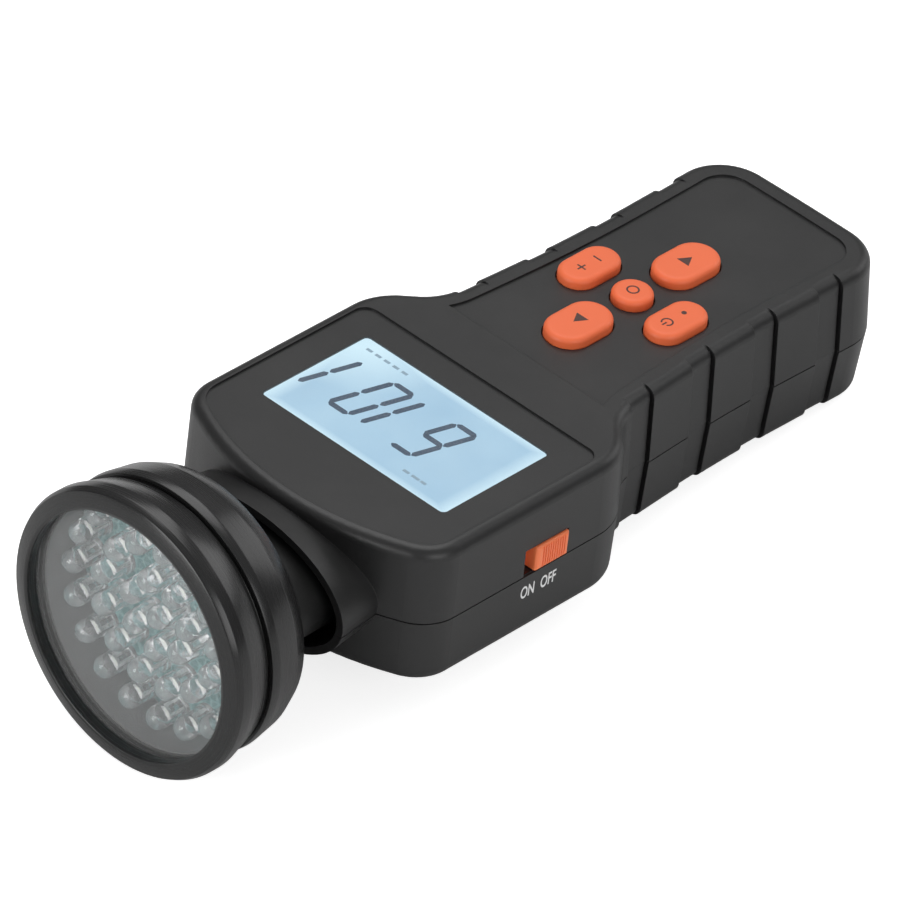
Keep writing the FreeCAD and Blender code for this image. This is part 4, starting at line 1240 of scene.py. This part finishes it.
@dataclass
class Fasteners:
    """Cross-slotted screws in the back, modelled once and copied; lengths in millimetres."""

    places: tuple[tuple[float, float, float], ...] = (
        (26.0, -22.8, 1.0), (-26.0, -22.8, 1.0), (26.0, 25.0, 1.0), (-26.0, 25.0, 1.0),
        (10.0, 107.0, 2.5), (-10.0, 107.0, 2.5))
    shank: float = 20.0

    def build(self, wardrobe: Wardrobe) -> None:
        """Models one screw along Z and places the copies."""
        first = self.screw()
        wardrobe.dress(first, STEEL)
        screws = [Bench.copy(first, f"screw_{i}", Vector(place) * MM) for i, place in enumerate(self.places)]
        bpy.data.objects.remove(first)
        deliver(Bench.join(screws, "case_cross_screws"), Body.CASE, "screw_steel", "case_screws")

    def screw(self) -> bpy.types.Object:
        """Domed head with a cross slot, on a shank with thread ridges."""
        head = [(0.0, 0.0), (0.0, 1.5), (0.25, 2.2), (0.7, 2.55), (1.2, 2.6), (1.8, 2.6), (1.8, 1.1)]
        thread = [(2.1 + 0.7 * i + shift, radius) for i in range(24)
                  for shift, radius in ((0.0, 1.1), (0.3, 1.4))]
        point = [(1.8 + self.shank - 1.0, 1.1), (1.8 + self.shank, 0.0)]
        screw = Bench.turned("screw", head + thread + point, 0.0, 32, False)
        Bench.turn(screw, "X", 90)
        for long, wide in ((3.5, 0.62), (0.62, 3.5)):
            slot = Bench.block("slot", (0, 0, 0), (long * MM, wide * MM, 1.8 * MM))
            Bench.modify(screw, "BOOLEAN", operation="DIFFERENCE", object=slot, solver="EXACT")
            bpy.data.objects.remove(slot)
        Bench.smooth(screw, 30)
        return screw


@dataclass
class Studio:
    """Pale floor, soft light and the fitted camera."""

    azimuth: float = 0.699707
    elevation: float = 0.643689
    roll: float = 0.113334
    distance: float = 1.9365
    lens: float = 400.0
    sensor: float = 36.0
    focal_pixels: float = 10000.0
    image_middle: float = 450.0
    sight_pixel: tuple[float, float] = (405.098, 421.293)
    lift: float = 0.0315
    floor_turn: float = 4.44
    floor_touch_y: float = 0.1146
    floor_gap: float = 0.0002
    aim: tuple[float, float, float] = (0.0, 0.02, 0.015)

    def build(self) -> None:
        """Sets up the floor, the world, the lights and the camera."""
        self.floor()
        self.world()
        self.lights()
        self.camera()

    def floor(self) -> None:
        """Wide flat sheet under the bezel and the tail, white to the camera but for its shadow."""
        Bench.clear()
        bpy.ops.mesh.primitive_plane_add(size=6.0)
        floor = Bench.named("studio_floor")
        floor.rotation_euler[0] = math.radians(self.floor_turn)
        floor.location = (0, self.floor_touch_y, -self.floor_gap)
        Bench.settle(floor)
        material = bpy.data.materials.new("studio_paper")
        material.use_nodes = True
        graph = Graph(material.node_tree)
        paper = graph.add("BsdfDiffuse")
        graph.put(paper, "Color", (0.80, 0.80, 0.80))
        glow = graph.add("Emission")
        graph.put(glow, "Color", (1.0, 1.0, 1.0))
        graph.put(glow, "Strength", graph.maths("MULTIPLY", graph.seen(), 0.75))
        both = graph.add("AddShader")
        graph.put(both, 0, paper.outputs[0])
        graph.put(both, 1, glow.outputs[0])
        graph.put(graph.add("OutputMaterial"), 0, both.outputs[0])
        floor.data.materials.append(material)

    def world(self) -> None:
        """Grey surroundings, paler overhead, that the camera sees as white."""
        world = bpy.data.worlds.new("studio")
        bpy.context.scene.world = world
        world.use_nodes = True
        graph = Graph(world.node_tree)
        ground = graph.add("Background")
        height = graph.split(graph.add("TexCoord").outputs["Generated"])[2]
        shade = graph.remap(height, 0.0, 0.8, 0.12, 0.40)
        graph.put(ground, "Color", graph.blend(graph.seen(), shade, (1.0, 1.0, 1.0)))
        graph.put(ground, "Strength", 1.0)
        graph.put(graph.add("OutputWorld"), 0, ground.outputs[0])

    def lights(self) -> None:
        """Large soft sources: above, at the lamp's side, and behind the tail."""
        self.soft_box("key_light", (-0.45, 0.35, 1.30), 1.1, 8.8)
        self.soft_box("side_light", (1.35, -0.35, 0.60), 0.9, 6.5)
        self.soft_box("front_light", (-0.20, -1.35, 0.35), 0.8, 10.0)
        self.soft_box("rear_light", (0.30, 1.35, 0.75), 0.9, 4.0)

    def soft_box(self, name: str, place: Sequence[float], size: float, power: float) -> None:
        """Square area light turned to the object.

        Args:
            name: The light's name.
            place: Where it stands.
            size: Its side.
            power: Its power in watts.
        """
        Bench.clear()
        bpy.ops.object.light_add(type="AREA", location=place)
        light = bpy.context.object
        light.name = name
        light.data.size = size
        light.data.energy = power
        way = Vector(self.aim) - Vector(place)
        light.rotation_euler = way.to_track_quat("-Z", "Y").to_euler()

    def camera(self) -> None:
        """Camera fitted to the photo."""
        back = Vector((math.sin(self.azimuth) * math.cos(self.elevation),
                       -math.cos(self.azimuth) * math.cos(self.elevation), math.sin(self.elevation)))
        right = Vector((math.cos(self.azimuth), math.sin(self.azimuth), 0.0))
        up = back.cross(right)
        level = math.cos(self.roll) * right + math.sin(self.roll) * up
        upright = -math.sin(self.roll) * right + math.cos(self.roll) * up
        across = (self.sight_pixel[0] - self.image_middle) / self.focal_pixels * self.distance
        above = (self.image_middle - self.sight_pixel[1]) / self.focal_pixels * self.distance
        place = -across * level - above * upright + self.distance * back + Vector((0, 0, self.lift))
        data = bpy.data.cameras.new("studio_camera")
        data.lens = self.lens
        data.sensor_width = self.sensor
        data.clip_end = 20.0
        camera = bpy.data.objects.new("studio_camera", data)
        bpy.context.scene.collection.objects.link(camera)
        turn = Matrix((level, upright, back)).transposed().to_4x4()
        camera.matrix_world = Matrix.Translation(place) @ turn
        bpy.context.scene.camera = camera
        bpy.context.scene.view_settings.view_transform = "Standard"


def main() -> None:
    """Builds the sub-assemblies in order."""
    logging.basicConfig(level=logging.INFO, format="%(name)s: %(message)s")
    wardrobe = Wardrobe(Effects())
    assemblies = (CaseShells(), InnerWorks(), LampHead(), LampArray(), DisplayPanel(), Keypad(),
                  SlideSwitch(), Fasteners())
    for assembly in assemblies:
        assembly.build(wardrobe)
        LOG.info("built %s", type(assembly).__name__)
    Studio().build()


if __name__ == "__main__":
    main()
